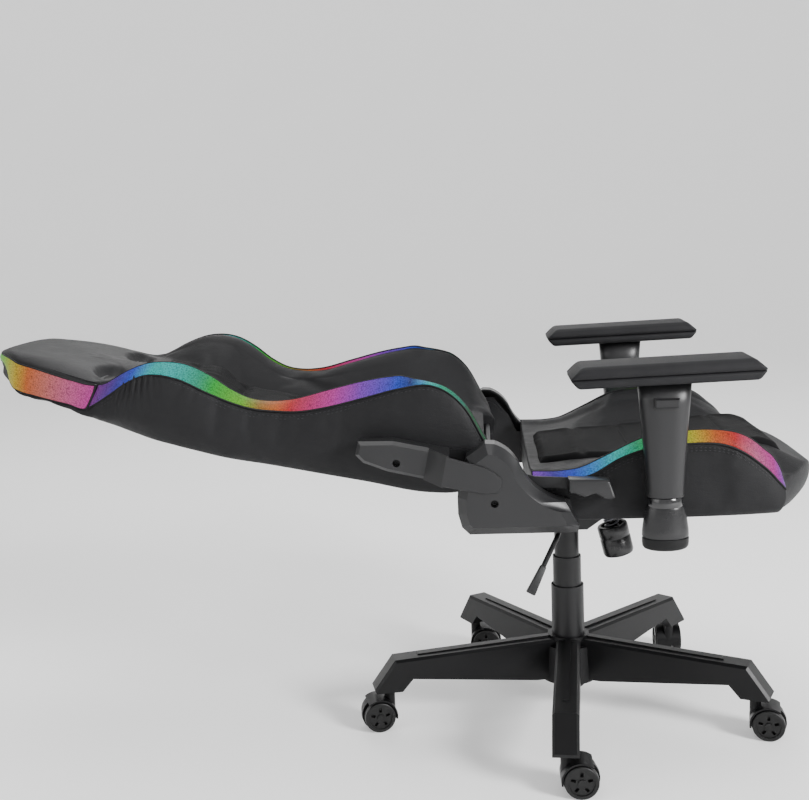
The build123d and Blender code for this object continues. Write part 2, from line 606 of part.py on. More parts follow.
def recline_lever():
    """Flat arm on the right-hand hinge, and the finger grip at its end."""
    low, high = LEVER_ARM
    arm_side = [
        (PIVOT_Y, 471), (60, 452), (10, 449), (-28, 446), (-28, 432), (14, 433), (60, 436), (PIVOT_Y, 449),
    ]
    arm = side_slab(arm_side, low, high) + across(11, low, high, PIVOT_Y, PIVOT_Z)
    arm -= across(PIVOT_RADIUS + CONTACT_GAP, low - 2, high + 2, PIVOT_Y, PIVOT_Z)
    keep("recline_lever", mirror(arm, Plane.YZ))
    grip_side = [
        (14, 452), (-44, 449), (-52, 423), (-44, 422), (-36, 422), (-24, 430), (-7, 425),
        (6, 431), (14, 431),
    ]
    grip = side_slab(grip_side, high, high + 26)
    grip = chamfer(grip.faces().sort_by(Axis.X)[-1].edges(), 2.5)
    keep("recline_lever_grip", mirror(grip, Plane.YZ))

    leaf = 1.4
    pitch = 5.0
    coil_x = (SEAT_COVER[0] + 1, SEAT_COVER[0] + 9)
    spiral = None
    for index in range(7):
        radius = 7.5 + index * pitch / 2
        shift = 0 if index % 2 == 0 else pitch / 2
        ring = Circle(radius + leaf / 2) - Circle(radius - leaf / 2)
        direction = 1 if index % 2 == 0 else -1
        half = ring & (Pos(0, direction * 40) * Rectangle(120, 80))
        piece = Pos(shift, 0) * half
        spiral = piece if spiral is None else spiral + piece
    plane = Plane(origin=(coil_x[0], PIVOT_Y, PIVOT_Z), x_dir=(0, 1, 0), z_dir=(1, 0, 0))
    keep("recliner_spring", mirror(extrude(plane * spiral, coil_x[1] - coil_x[0]), Plane.YZ))


# ---------------------------------------------------------------- backrest
BACK_SEAM = [
    (20, 45), (49, 80), (80, 99), (108, 104), (146, 93), (197, 69), (248, 46), (285, 33), (325, 26),
    (355, 24), (387, 27), (421, 34), (474, 46), (500, 48), (520, 43), (540, 30),
]
BACK_REAR = [(HEAD_START, -43), (500, -54), (417, -59), (300, -58), (177, -59), (70, -58)]


def head_plan(grow=0.0):
    """Front-view outline of the head panel, rounded at its end, with an allowance all round."""
    half = HEAD_HALF_WIDTH + grow
    tip = BACK_LENGTH + grow
    side = [(HEAD_START, half), (600, half - 5), (670, half - 20), (730, half - 44), (778 + grow, half - 82)]
    left = Spline(*side, (tip - 6, half - 130), (tip, 0), tangents=[(1, 0), (0, -1)])
    right = mirror(left, Plane.XZ)
    base = Line((HEAD_START, half), (HEAD_START, -half))
    return make_face([left, right, base])


def front_plane():
    """Plane of the backrest's front view: its X along the back, its Y across the chair."""
    turn = radians(REST_ANGLE)
    return Plane(
        origin=(0, PIVOT_Y, PIVOT_Z), x_dir=(0, cos(turn), sin(turn)), z_dir=(0, -sin(turn), cos(turn))
    )


def back_frame(skin):
    """Ladder of square tube inside the backrest, every face moved in by skin."""
    half = FRAME_TUBE / 2 - skin
    ladder = None
    for sign in (-1, 1):
        rail = side_slab(
            [(30 + skin, -half), (30 + skin, half), (500 - skin, half - 6), (500 - skin, -half - 6)],
            *sorted((sign * (BACK_RAIL_X - half), sign * (BACK_RAIL_X + half))), BACK_PLANE,
        )
        ladder = rail if ladder is None else ladder + rail
    for start, drop in ((60, 1), (470, 6)):
        rung = [
            (start + skin, -half - drop), (start + skin, half - drop),
            (start + FRAME_TUBE - skin, half - drop), (start + FRAME_TUBE - skin, -half - drop),
        ]
        ladder += side_slab(rung, -BACK_RAIL_X, BACK_RAIL_X, BACK_PLANE)
    return ladder


def backrest():
    rod_hole = across(PIVOT_RADIUS + 0.5, -300, 300, PIVOT_Y, PIVOT_Z)
    panel_side = [
        (12, -30), (12, 34), (60, 30), (130, 17), (200, 6), (320, -2), (420, 0), (465, 9),
        (HEAD_START, HEAD_FRONT),
    ] + BACK_REAR
    panel = side_slab(panel_side, -PANEL_HALF_WIDTH, PANEL_HALF_WIDTH, BACK_PLANE)
    crest = [(u, t + STRIP_HEIGHT) for u, t in BACK_SEAM[2:-1]] + [(HEAD_START, HEAD_FRONT)]
    wing_side = [(-13, -17), (-4, 14), (17, 56), (44, 88)] + crest + BACK_REAR
    wing = side_slab(wing_side, PANEL_HALF_WIDTH, BACK_HALF_WIDTH, BACK_PLANE) - rod_hole
    head_side = [
        (HEAD_START, -43), (HEAD_START, HEAD_FRONT), (740, HEAD_FRONT), (788, 14), (BACK_LENGTH, -6),
        (BACK_LENGTH - 4, -16), (740, -24), (674, -26), (606, -33),
    ]
    head = side_slab(head_side, -HEAD_HALF_WIDTH, HEAD_HALF_WIDTH, BACK_PLANE)
    head &= extrude(front_plane() * head_plan(), 80, both=True)
    solid_frame = back_frame(0)
    keep("back_frame", solid_frame - back_frame(TUBE_WALL))
    wing_left = wing - solid_frame
    wing_right = mirror(wing, Plane.YZ) - solid_frame
    keep("back_cushion", panel - solid_frame, wing_left, wing_right, head)

    strip = BACK_SEAM + [(u, t + STRIP_HEIGHT) for u, t in reversed(BACK_SEAM[1:-1])]
    side_strip = side_slab(strip, BACK_HALF_WIDTH, BACK_HALF_WIDTH + STRIP_THICKNESS, BACK_PLANE)
    rim = head_plan(STRIP_THICKNESS) - head_plan()
    band = side_slab([(598, -22), (598, 10), (790, 10), (802, -16)], 40, HEAD_HALF_WIDTH + 20, BACK_PLANE)
    head_strip = extrude(front_plane() * rim, 80, both=True) & band
    keep_pair("back_light", side_strip, head_strip)


# ---------------------------------------------------------------- armrests
def pad_plane():
    """Side-view plane of the pad, its origin on the tip line over the post."""
    turn = radians(PAD_SLOPE)
    return Plane(origin=(0, ARM_Y, PAD_TIP_Z), x_dir=(0, cos(turn), -sin(turn)), z_dir=(1, 0, 0))


def armrests():
    inner, outer = ARM_X - SLEEVE_DEPTH / 2, ARM_X + SLEEVE_DEPTH / 2
    half = PAD_LENGTH / 2
    flat = half - PAD_END_RUN
    x_span = (ARM_X - PAD_HALF_WIDTH, ARM_X + PAD_HALF_WIDTH)
    plane = pad_plane()
    pad = side_slab([(-half, 0), (-flat, PAD_UPPER), (flat, PAD_UPPER), (half, 0)], *x_span, plane)
    rim = pad.faces().sort_by(Axis.Z)[-1].edges().filter_by(Axis.X, reverse=True)
    pad = chamfer(rim, 7)
    keep_pair("arm_pad", pad)
    foot = half - 12
    plate = side_slab([(-half + 1, 0), (half - 1, 0), (foot, -PAD_LOWER), (-foot, -PAD_LOWER)],
                      x_span[0] + 2, x_span[1] - 2, plane)
    keep_pair("arm_plate", plate)

    top, toe = SLEEVE_TOP_LENGTH / 2, SLEEVE_FOOT_LENGTH / 2
    high = PAD_TIP_Z + 10
    side = [
        (ARM_Y - top, high), (ARM_Y + top, high),
        (ARM_Y + toe, SLEEVE_FOOT_Z), (ARM_Y - toe, SLEEVE_FOOT_Z),
    ]
    sleeve = side_slab(side, inner, outer)
    wall = SLEEVE_WALL
    cavity_top = POST_TOP + 8
    slope = (top - toe) / (high - SLEEVE_FOOT_Z)
    cavity_half = toe + slope * (cavity_top - SLEEVE_FOOT_Z) - wall
    cavity = [
        (ARM_Y - cavity_half, cavity_top), (ARM_Y + cavity_half, cavity_top),
        (ARM_Y + toe - wall, SLEEVE_FOOT_Z - 1), (ARM_Y - toe + wall, SLEEVE_FOOT_Z - 1),
    ]
    sleeve -= side_slab(cavity, inner + wall, outer - wall)
    above_side = [(-200, -PAD_LOWER), (200, -PAD_LOWER), (200, 60), (-200, 60)]
    above = side_slab(above_side, inner - 5, outer + 5, plane)
    sleeve -= above
    window = 0.5
    sleeve -= bar(
        (outer - wall - 1, outer + 1),
        (ARM_Y - TRIGGER_LENGTH / 2 - window, ARM_Y + TRIGGER_LENGTH / 2 + window),
        (TRIGGER_Z - TRIGGER_HEIGHT / 2 - window, TRIGGER_Z + TRIGGER_HEIGHT / 2 + window),
    )
    keep_pair("arm_sleeve", sleeve)
    trigger = bar(
        (outer - wall - 1.5, outer + 6),
        (ARM_Y - TRIGGER_LENGTH / 2, ARM_Y + TRIGGER_LENGTH / 2),
        (TRIGGER_Z - TRIGGER_HEIGHT / 2, TRIGGER_Z + TRIGGER_HEIGHT / 2),
    )
    keep_pair("arm_trigger", chamfer(trigger.faces().sort_by(Axis.X)[-1].edges(), 2))

    depth = SLEEVE_DEPTH / 2
    post = bar(
        (ARM_X - POST_DEPTH / 2, ARM_X + POST_DEPTH / 2),
        (ARM_Y - POST_LENGTH / 2, ARM_Y + POST_LENGTH / 2),
        (CUP_TOP - 10, POST_TOP),
    )
    long = CUP_LENGTH / 2
    neck = SLEEVE_FOOT_LENGTH / 2 - 1
    cup_side = [
        (ARM_Y - long + 9, CUP_BOTTOM), (ARM_Y - long, CUP_BOTTOM + 9), (ARM_Y - long, CUP_BOTTOM + 26),
        (ARM_Y - neck, CUP_TOP - 10), (ARM_Y - neck + 3, CUP_TOP), (ARM_Y + neck - 3, CUP_TOP),
        (ARM_Y + neck, CUP_TOP - 10), (ARM_Y + long, CUP_BOTTOM + 26), (ARM_Y + long, CUP_BOTTOM + 9),
        (ARM_Y + long - 9, CUP_BOTTOM),
    ]
    cup = side_slab(cup_side, ARM_X - depth, ARM_X + depth)
    keep_pair("arm_post", post + cup)
    plate_top = PLATE_BOTTOM + PLATE_THICKNESS
    width = (ARM_Y - 20, ARM_Y + 20)
    bracket = bar((PANEL_HALF_WIDTH - 20, inner), width, (PLATE_BOTTOM, plate_top - CONTACT_GAP))
    bracket += bar((inner - 5, inner), width, (CUP_BOTTOM + 6, 412))
    keep_pair("arm_bracket", bracket)


# ---------------------------------------------------------------- whole chair
star_base()
caster_stems()
casters()
gas_lift()
mechanism()
tension_knob()
lift_lever()
seat_frame()
seat_cushion()
hinge_plates()
hinge_covers()
recline_lever()
backrest()
armrests()

for node, shape in PARTS.items():
    export_step(shape, f"parts/{node}.step")
print(len(PARTS), "sub-parts")
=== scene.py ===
"""Looks of the reclining gaming chair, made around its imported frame. Metres in Blender; sizes are read in
millimetres and multiplied by MM. The backrest has its own side view: u runs from the recline pivot to the
head, t towards the sitter, and x across the chair."""

import json
import math

import bmesh
import bpy
import numpy as np
from mathutils import Matrix, Vector


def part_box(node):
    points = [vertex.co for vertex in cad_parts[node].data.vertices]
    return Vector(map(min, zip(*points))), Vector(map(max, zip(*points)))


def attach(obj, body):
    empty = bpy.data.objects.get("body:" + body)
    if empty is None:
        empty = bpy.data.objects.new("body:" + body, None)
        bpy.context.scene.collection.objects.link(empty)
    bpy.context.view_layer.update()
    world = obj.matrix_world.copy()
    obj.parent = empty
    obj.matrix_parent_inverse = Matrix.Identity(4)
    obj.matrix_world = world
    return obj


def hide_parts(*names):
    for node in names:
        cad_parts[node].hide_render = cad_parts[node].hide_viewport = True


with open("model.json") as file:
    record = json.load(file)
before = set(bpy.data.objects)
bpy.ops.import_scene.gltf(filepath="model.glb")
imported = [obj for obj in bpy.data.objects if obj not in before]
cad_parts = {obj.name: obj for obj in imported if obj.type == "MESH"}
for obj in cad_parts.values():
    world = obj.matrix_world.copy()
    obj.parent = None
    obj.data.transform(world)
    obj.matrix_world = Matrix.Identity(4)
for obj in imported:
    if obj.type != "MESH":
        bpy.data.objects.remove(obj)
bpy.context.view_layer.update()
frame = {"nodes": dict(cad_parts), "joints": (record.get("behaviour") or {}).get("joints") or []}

MM = 0.001
SIDES = (("left", 1), ("right", -1))
joints = {joint["name"]: joint for joint in frame["joints"]}
PIVOT = Vector(joints["back_recline"]["pos_m"])
LEAN = math.radians(12.4)              # backrest above the horizontal at rest
SEAT_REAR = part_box("seat_cushion")[1].y / MM
SEAT_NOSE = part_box("seat_cushion")[0].y / MM


# ------------------------------------------------------------------ shader sums
class Value:
    """A shader socket that takes part in Python sums."""

    def __init__(self, finish, socket):
        self.finish = finish
        self.socket = socket

    def sum(self, operation, *values):
        return self.finish.node("ShaderNodeMath", {"operation": operation}, *values)

    def __add__(self, other):
        return self.sum("ADD", self, other)

    def __radd__(self, other):
        return self.sum("ADD", other, self)

    def __sub__(self, other):
        return self.sum("SUBTRACT", self, other)

    def __rsub__(self, other):
        return self.sum("SUBTRACT", other, self)

    def __mul__(self, other):
        return self.sum("MULTIPLY", self, other)

    def __rmul__(self, other):
        return self.sum("MULTIPLY", other, self)

    def sine(self):
        return self.sum("SINE", self)


class Finish:
    """One procedural material."""

    def __init__(self, name, **settings):
        self.material = bpy.data.materials.new(name)
        self.material.use_nodes = True
        self.tree = self.material.node_tree
        self.shader = self.tree.nodes["Principled BSDF"]
        for label, value in settings.items():
            self.shader.inputs[label.replace("_", " ")].default_value = value

    def node(self, kind, settings=None, *values, output=0, **named):
        made = self.tree.nodes.new(kind)
        for label, value in (settings or {}).items():
            if label == "stops":
                self.set_ramp(made, value)
            else:
                setattr(made, label, value)
        for index, value in enumerate(values):
            self.feed(made.inputs[index], value)
        for label, value in named.items():
            self.feed(made.inputs[label.replace("_", " ")], value)
        return Value(self, made.outputs[output])

    def set_ramp(self, made, stops):
        elements = made.color_ramp.elements
        while len(elements) < len(stops):
            elements.new(0.5)
        for element, (place, colour) in zip(elements, stops):
            element.position = place
            element.color = (*colour, 1.0)

    def feed(self, socket, value):
        if isinstance(value, Value):
            self.tree.links.new(value.socket, socket)
        else:
            socket.default_value = value

    def place(self, scale=(1, 1, 1), turn=(0, 0, 0)):
        """The piece's own coordinates, scaled and turned."""
        where = self.node("ShaderNodeTexCoord", output="Object")
        return self.node("ShaderNodeMapping", {}, where, Scale=scale, Rotation=turn)

    def noise(self, where, scale, detail=3.0, roughness=0.5):
        return self.node(
            "ShaderNodeTexNoise", {}, Vector=where, Scale=scale, Detail=detail, Roughness=roughness
        )

    def cells(self, where, scale, feature="F1", randomness=1.0):
        settings = {"feature": feature}
        return self.node("ShaderNodeTexVoronoi", settings, Vector=where, Scale=scale, Randomness=randomness)

    def ramp(self, value, stops):
        return self.node("ShaderNodeValToRGB", {"stops": stops}, value)

    def mix(self, share, low, high):
        """Colour between two colours."""
        made = self.tree.nodes.new("ShaderNodeMix")
        made.data_type = "RGBA"
        self.feed(made.inputs[0], share)
        for index, colour in ((6, low), (7, high)):
            self.feed(made.inputs[index], colour if isinstance(colour, Value) else (*colour, 1.0))
        return Value(self, made.outputs[2])

    def colour(self, value):
        self.feed(self.shader.inputs["Base Color"], value)

    def roughness(self, value):
        self.feed(self.shader.inputs["Roughness"], value)

    def bump(self, height, depth, strength=1.0):
        relief = self.node("ShaderNodeBump", {}, Strength=strength, Distance=depth, Height=height)
        self.feed(self.shader.inputs["Normal"], relief)


def leather():
    made = Finish("soft_leather", Specular_IOR_Level=0.16)
    where = made.place()
    patches = made.noise(where, 9.0, 4.0)
    grain = made.cells(where, 620.0, "DISTANCE_TO_EDGE")
    pores = made.noise(where, 1500.0, 2.0)
    made.colour(made.mix(patches, (0.0055, 0.0055, 0.006), (0.0115, 0.0115, 0.0125)))
    made.roughness(0.42 + 0.14 * made.noise(where, 22.0, 5.0) + 0.10 * pores)
    creases = made.noise(made.place((1, 1, 2.2)), 60.0, 6.0, 0.6)
    made.bump(0.55 * grain + 0.25 * pores + 1.6 * creases, 0.0007, 0.55)
    return made.material


THREAD_PITCH = 0.0022


def weave():
    made = Finish("panel_fabric", Sheen_Weight=0.02, Sheen_Roughness=0.5, Specular_IOR_Level=0.06)
    where = made.node("ShaderNodeTexCoord", output="Object")
    split = made.node("ShaderNodeSeparateXYZ", {}, where)
    along = Value(made, split.socket.node.outputs[1])
    threads = math.tau / THREAD_PITCH
    crossing = (split * threads).sine() * (along * threads).sine()
    holes = made.cells(where, 330.0, "F1", 0.15)
    made.colour(made.mix(0.5 + 0.5 * crossing, (0.002, 0.002, 0.0023), (0.0065, 0.0065, 0.007)))
    made.roughness(0.72 + 0.15 * made.noise(where, 40.0))
    made.bump(crossing * 0.5 + holes * 0.5, 0.0005, 0.6)
    return made.material


def moulding(name, dark, light, rough, grain=900.0, depth=0.00012, shine=0.3, coat=0.0):
    """Moulded plastic: fine spark-eroded grain, faint flow marks and handling scuffs."""
    made = Finish(name, Specular_IOR_Level=shine, Coat_Roughness=0.2, Coat_Weight=coat)
    where = made.place()
    flow = made.noise(made.place((1, 1, 0.35)), 14.0, 5.0)
    fine = made.noise(where, grain, 2.0)
    made.colour(made.mix(flow, dark, light))
    made.roughness(rough - 0.03 + 0.06 * made.noise(where, 70.0, 6.0) + 0.05 * fine)
    made.bump(fine, depth, 0.5)
    return made.material


def metal(name, dark, light, rough, stretch=(1, 1, 30)):
    made = Finish(name, Metallic=1.0)
    streaks = made.noise(made.place(stretch), 60.0, 4.0)
    made.colour(made.mix(streaks, dark, light))
    made.roughness(rough + 0.15 * streaks)
    made.bump(streaks, 0.00005, 0.4)
    return made.material


def pad_skin():
    """Armrest skin with fine lengthwise texture."""
    made = Finish("pad_skin", Specular_IOR_Level=0.14)
    lines = made.noise(made.place((1, 0.06, 1)), 900.0, 3.0)
    patches = made.noise(made.place(), 30.0, 3.0)
    made.colour(made.mix(patches, (0.008, 0.008, 0.009), (0.014, 0.014, 0.015)))
    made.roughness(0.56 + 0.12 * lines)
    made.bump(lines, 0.00025, 0.7)
    return made.material


def glowing(name, stops):
    """Woven light strip: colours run along it, with the sparkle of its diffusing weave."""
    made = Finish(name, Roughness=0.4, Specular_IOR_Level=0.05, Emission_Strength=0.75)
    where = made.node("ShaderNodeTexCoord", output="UV")
    along = made.node("ShaderNodeSeparateXYZ", {}, where)
    place = made.place()
    hues = made.ramp(along + 0.010 * (made.noise(place, 45.0, 2.0) - 0.5), stops)
    sparkle = made.cells(place, 520.0)
    glints = made.noise(place, 800.0, 2.0)
    lit = made.mix(0.20 * glints * glints, hues, (1, 1, 1))
    weave_shade = made.mix(0.75 * sparkle + 0.04, lit, (0.01, 0.01, 0.01))
    made.feed(made.shader.inputs["Emission Color"], weave_shade)
    made.colour(made.mix(0.96, hues, (0.004, 0.004, 0.004)))
    made.bump(sparkle, 0.0004, 0.5)
    return made.material


RED, ORANGE, YELLOW, LIME = (1.0, 0.02, 0.02), (1.0, 0.20, 0.01), (0.90, 0.70, 0.01), (0.25, 0.85, 0.01)
GREEN, TEAL, CYAN, SKY = (0.01, 0.75, 0.05), (0.01, 0.60, 0.32), (0.02, 0.85, 0.80), (0.05, 0.45, 1.0)
BLUE, INDIGO, VIOLET = (0.01, 0.09, 1.0), (0.07, 0.03, 0.55), (0.38, 0.06, 0.90)
PURPLE, MAGENTA, PINK = (0.28, 0.02, 0.36), (0.95, 0.05, 0.55), (1.0, 0.16, 0.42)
SALMON, DARK_GREEN, DARK_BLUE = (1.0, 0.24, 0.18), (0.004, 0.16, 0.05), (0.01, 0.05, 0.35)
OLIVE, DIM_TEAL = (0.55, 0.30, 0.01), (0.01, 0.30, 0.20)

LEATHER = leather()
FABRIC = weave()
# dark colour, light colour, roughness, grain, its depth, shine, coat
THREAD = moulding("thread", (0.012, 0.012, 0.013), (0.022, 0.022, 0.024), 0.6, 1500.0)
NYLON = moulding("black_nylon", (0.002, 0.002, 0.0022), (0.0045, 0.0045, 0.005), 0.34, shine=0.2)
WHEEL = moulding("wheel_nylon", (0.003, 0.003, 0.003), (0.006, 0.006, 0.006), 0.38, shine=0.28)
COLUMN = moulding("column_plastic", (0.003, 0.003, 0.0035), (0.006, 0.006, 0.0065), 0.36, 500.0, shine=0.3)
GLOSS = moulding("glossy_black", (0.004, 0.004, 0.0045), (0.008, 0.008, 0.009), 0.14, 300.0, 0.00004, 0.5, 0.3)
COVER = moulding("cover_plastic", (0.007, 0.007, 0.0075), (0.013, 0.013, 0.014), 0.32, 1300.0, 0.0002, 0.36)
POST = moulding("post_plastic", (0.008, 0.008, 0.0085), (0.014, 0.014, 0.015), 0.34, 1300.0, 0.0002, 0.36)
GUNMETAL = moulding(
    "gunmetal_cup", (0.006, 0.006, 0.0065), (0.010, 0.010, 0.011), 0.24, 700.0, 0.00008, 0.4
)
PAD = pad_skin()
STEEL = metal("ground_steel", (0.35, 0.35, 0.36), (0.60, 0.60, 0.62), 0.22)
SPRING = metal("spring_steel", (0.10, 0.10, 0.11), (0.25, 0.25, 0.27), 0.30, (1, 30, 30))
COATED = moulding("black_coat", (0.004, 0.004, 0.0045), (0.009, 0.009, 0.010), 0.36, 1800.0, 0.0002, 0.3)


# ------------------------------------------------------------------ mesh helpers
STRIP_THICKNESS = 1.6
SWELL_FRAMES = 18
COVER_STIFFNESS, COVER_BENDING = 12, 0.6
STITCH_PITCH, STITCH_LENGTH, STITCH_RADIUS = 6.5, 4.4, 0.55


def smooth(knots, x):
    """Smooth curve through (place, value) pairs, with slopes taken from the neighbours."""
    places, values = np.array(knots, float).T
    slopes = np.gradient(values, places)
    x = np.clip(np.asarray(x, float), places[0], places[-1])
    i = np.clip(np.searchsorted(places, x) - 1, 0, len(places) - 2)
    step = places[i + 1] - places[i]
    s = (x - places[i]) / step
    rise = s * s * (3 - 2 * s)
    return (
        values[i] * (1 - rise) + values[i + 1] * rise
        + step * s * (1 - s) * (slopes[i] * (1 - s) - slopes[i + 1] * s)
    )


def ease(low, high, x):
    s = np.clip((np.asarray(x, float) - low) / (high - low), 0, 1)
    return s * s * (3 - 2 * s)


def new_piece(name, data, body, material):
    piece = bpy.data.objects.new(name, data)
    bpy.context.scene.collection.objects.link(piece)
    data.materials.append(material)
    if isinstance(data, bpy.types.Mesh):
        data.shade_smooth()
    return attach(piece, body)


def finished(mesh, name, body, material):
    """Turns a bmesh into a piece that rides on a body."""
    data = bpy.data.meshes.new(name)
    bmesh.ops.recalc_face_normals(mesh, faces=mesh.faces)
    mesh.to_mesh(data)
    mesh.free()
    return new_piece(name, data, body, material)


def set_points(data, points):
    data.vertices.foreach_set("co", np.asarray(points, np.float32).ravel())
    data.update()


def get_points(data):
    points = np.zeros(len(data.vertices) * 3, np.float32)
    data.vertices.foreach_get("co", points)
    return points.reshape(-1, 3).astype(float)


def pad_block(name, cuts, place, body, material):
    """Closed pad: a cube cut into a grid, each point put by place(p, q, r), all from -1 to 1."""
    mesh = bmesh.new()
    bmesh.ops.create_cube(mesh, size=2.0)
    for axis, count in enumerate(cuts):
        along = [e for e in mesh.edges if abs((e.verts[0].co - e.verts[1].co)[axis]) > 1.99]
        bmesh.ops.subdivide_edges(mesh, edges=along, cuts=count, use_grid_fill=True)
    piece = finished(mesh, name, body, material)
    unit = get_points(piece.data)
    set_points(piece.data, place(*unit.T))
    return piece, unit


def light_ribbon(name, counts, place, body, material):
    """Light strip: a grid whose points are put by place(a, b), both from 0 to 1, also its UV map."""
    mesh = bmesh.new()
    bmesh.ops.create_grid(mesh, x_segments=counts[0], y_segments=counts[1], size=0.5)
    layer = mesh.loops.layers.uv.new("UVMap")
    for face in mesh.faces:
        for loop in face.loops:
            loop[layer].uv = (loop.vert.co.x + 0.5, loop.vert.co.y + 0.5)
    data = bpy.data.meshes.new(name)
    mesh.to_mesh(data)
    mesh.free()
    piece = new_piece(name, data, body, material)
    unit = get_points(data)
    set_points(data, place(unit[:, 0] + 0.5, unit[:, 1] + 0.5))
    wall = piece.modifiers.new("wall", "SOLIDIFY")
    wall.thickness = STRIP_THICKNESS * MM
    wall.offset = 0
    return piece


def soften(piece):
    surface = piece.modifiers.new("surface", "SUBSURF")
    surface.levels = 1
    surface.render_levels = 1


def inflate(piece, held, pressure, reach, slack):
    """Lets a cover swell under pressure as cloth, held along its seams, by no more than reach."""
    rest = get_points(piece.data)
    group = piece.vertex_groups.new(name="seams")
    for index in np.flatnonzero(held > 0.01):
        group.add([int(index)], float(held[index]), "REPLACE")
    cloth = piece.modifiers.new("cloth", "CLOTH")
    cloth.settings.quality = 4
    cloth.settings.tension_stiffness = COVER_STIFFNESS
    cloth.settings.compression_stiffness = COVER_STIFFNESS
    cloth.settings.bending_stiffness = COVER_BENDING
    cloth.settings.use_pressure = True
    cloth.settings.uniform_pressure_force = pressure
    cloth.settings.shrink_min = slack
    cloth.settings.effector_weights.gravity = 0
    cloth.settings.vertex_group_mass = "seams"
    cloth.point_cache.frame_end = SWELL_FRAMES + 2
    scene = bpy.context.scene
    for step in range(1, SWELL_FRAMES + 1):
        scene.frame_set(step)
    swollen = piece.evaluated_get(bpy.context.evaluated_depsgraph_get()).to_mesh()
    moved = get_points(swollen) - rest
    size = np.linalg.norm(moved, axis=1, keepdims=True)
    limit = reach * MM
    moved *= limit * np.tanh(size / limit) / np.maximum(size, 1e-9)
    piece.modifiers.remove(cloth)
    scene.frame_set(1)
    set_points(piece.data, rest + moved)


def tube(name, points, radius, body, material, closed=False):
    """Round bead along a list of points."""
    data = bpy.data.curves.new(name, "CURVE")
    data.dimensions = "3D"
    data.bevel_depth = radius * MM
    data.bevel_resolution = 2
    data.use_fill_caps = True
    line = data.splines.new("POLY")
    line.points.add(len(points) - 1)
    for point, where in zip(line.points, points):
        point.co = (*where, 1)
    line.use_cyclic_u = closed
    return new_piece(name, data, body, material)


def stitching(name, points, normals, body):
    """Row of thread stitches along a line that lies on a surface."""
    points = np.asarray(points, float)
    steps = np.linalg.norm(np.diff(points, axis=0), axis=1)
    run = np.concatenate([[0], np.cumsum(steps)])
    normals = np.asarray(normals, float)
    margin = STITCH_PITCH / 2 * MM
    mesh = bmesh.new()
    for start in np.arange(margin, run[-1] - margin, STITCH_PITCH * MM):
        where = Vector([np.interp(start, run, points[:, k]) for k in range(3)])
        ahead = Vector([np.interp(start + 0.001, run, points[:, k]) for k in range(3)])
        up = Vector([np.interp(start, run, normals[:, k]) for k in range(3)]).normalized()
        forward = (ahead - where).normalized()
        across = up.cross(forward).normalized()
        turn = Matrix((forward, across, up)).transposed().to_4x4()
        size = Matrix.Diagonal((STITCH_LENGTH / 2 * MM, STITCH_RADIUS * MM, STITCH_RADIUS * 0.8 * MM, 1))
        proud = Matrix.Translation(where + up * STITCH_RADIUS * 0.2 * MM)
        bmesh.ops.create_icosphere(mesh, subdivisions=1, radius=1.0, matrix=proud @ turn @ size)
    return finished(mesh, name, body, THREAD)


# ------------------------------------------------------------------ backrest
BACK_END, HEAD_START, HEAD_SIDE, HEAD_TIP = -14.0, 597.0, 735.0, 802.0
SEAM = [
    (-14, -12), (2, 21), (19.5, 43), (49, 78), (80, 98), (108, 103), (146, 91.5), (198, 67),
    (249.5, 43), (287.5, 29), (328, 22), (358, 20), (390, 24), (423, 32), (474, 45.7), (500, 46),
    (521, 40.5), (541, 28), (557, 15), (570, 2), (593.6, -19.4), (606, -29.5), (640, -30),
    (700, -30.5), (723, -31), (742, -27), (750, -21), (756, -13), (812, -9),
]
CREST = [
    (-14, -7), (2, 26), (19.5, 48), (49, 83), (80, 103), (108, 107), (130, 107), (150, 107),
    (170, 101), (202.6, 88.6), (253, 64.8), (306, 39.7), (332, 32.7), (369, 31.4), (395, 39),
    (430, 55.3), (462, 65), (500, 63.5), (521, 57), (537, 48.5), (558, 34), (573, 21.4), (585, 12),
    (598, 7.5), (640, 7), (672, 8.8), (703, 10.2), (733, 10), (753, 11), (812, 2),
]
PANEL = [
    (-14, 26), (12, 26), (60, 17), (130, 6), (200, -4), (320, -11), (400, -11), (440, -4), (465, 10),
    (495, 12), (540, 10), (600, 14), (650, 20), (740, 20), (780, 16), (812, 2),
]
REAR = [
    (-14, -22), (10, -37), (40, -50), (77, -57), (177, -59), (320, -62), (389, -63), (440, -59),
    (492, -54), (520, -51), (551, -49), (582, -48), (611, -45), (640, -41), (670, -38), (701, -38),
    (735, -35), (747, -31), (812, -12),
]
HALF = [
    (-14, 206), (60, 211), (150, 210), (230, 208), (320, 205), (400, 210), (460, 217), (500, 219),
    (535, 208), (560, 196), (580, 187), (597, 182), (650, 173), (700, 157), (735, 139),
]
INSET = [
    (-14, 5), (100, 5), (140, 11), (170, 17), (200, 19), (480, 19), (540, 14), (575, 7), (597, 4),
    (812, 4),
]
PANEL_HALF, INLAY_HALF = 118.0, 115.0
ROLL_WIDTH, ROLL_HEIGHT = 26, 3.5
SHOULDER_U, LUMBAR_U = 533, 115
JUNCTION_BOW = 10
PIPING_RADIUS = 1.3
ROWS_Q, ROWS_U = (-1.0, -0.15, 0.5, 1.0), (BACK_END, 440.0, 562.0, HEAD_SIDE)
RECESS_X, RECESS_U, RECESS_LONG, RECESS_HIGH, RECESS_DEEP = 88.0, 606.0, 46.0, 20.0, 16.0


def back_row(x, u, t):
    """Points of the backrest's own view, in millimetres, as points of the chair."""
    x, u, t = np.broadcast_arrays(np.asarray(x, float), u, t)
    return np.stack([
        x * MM,
        PIVOT.y + (u * math.cos(LEAN) - t * math.sin(LEAN)) * MM,
        PIVOT.z + (u * math.sin(LEAN) + t * math.cos(LEAN)) * MM,
    ], axis=-1)


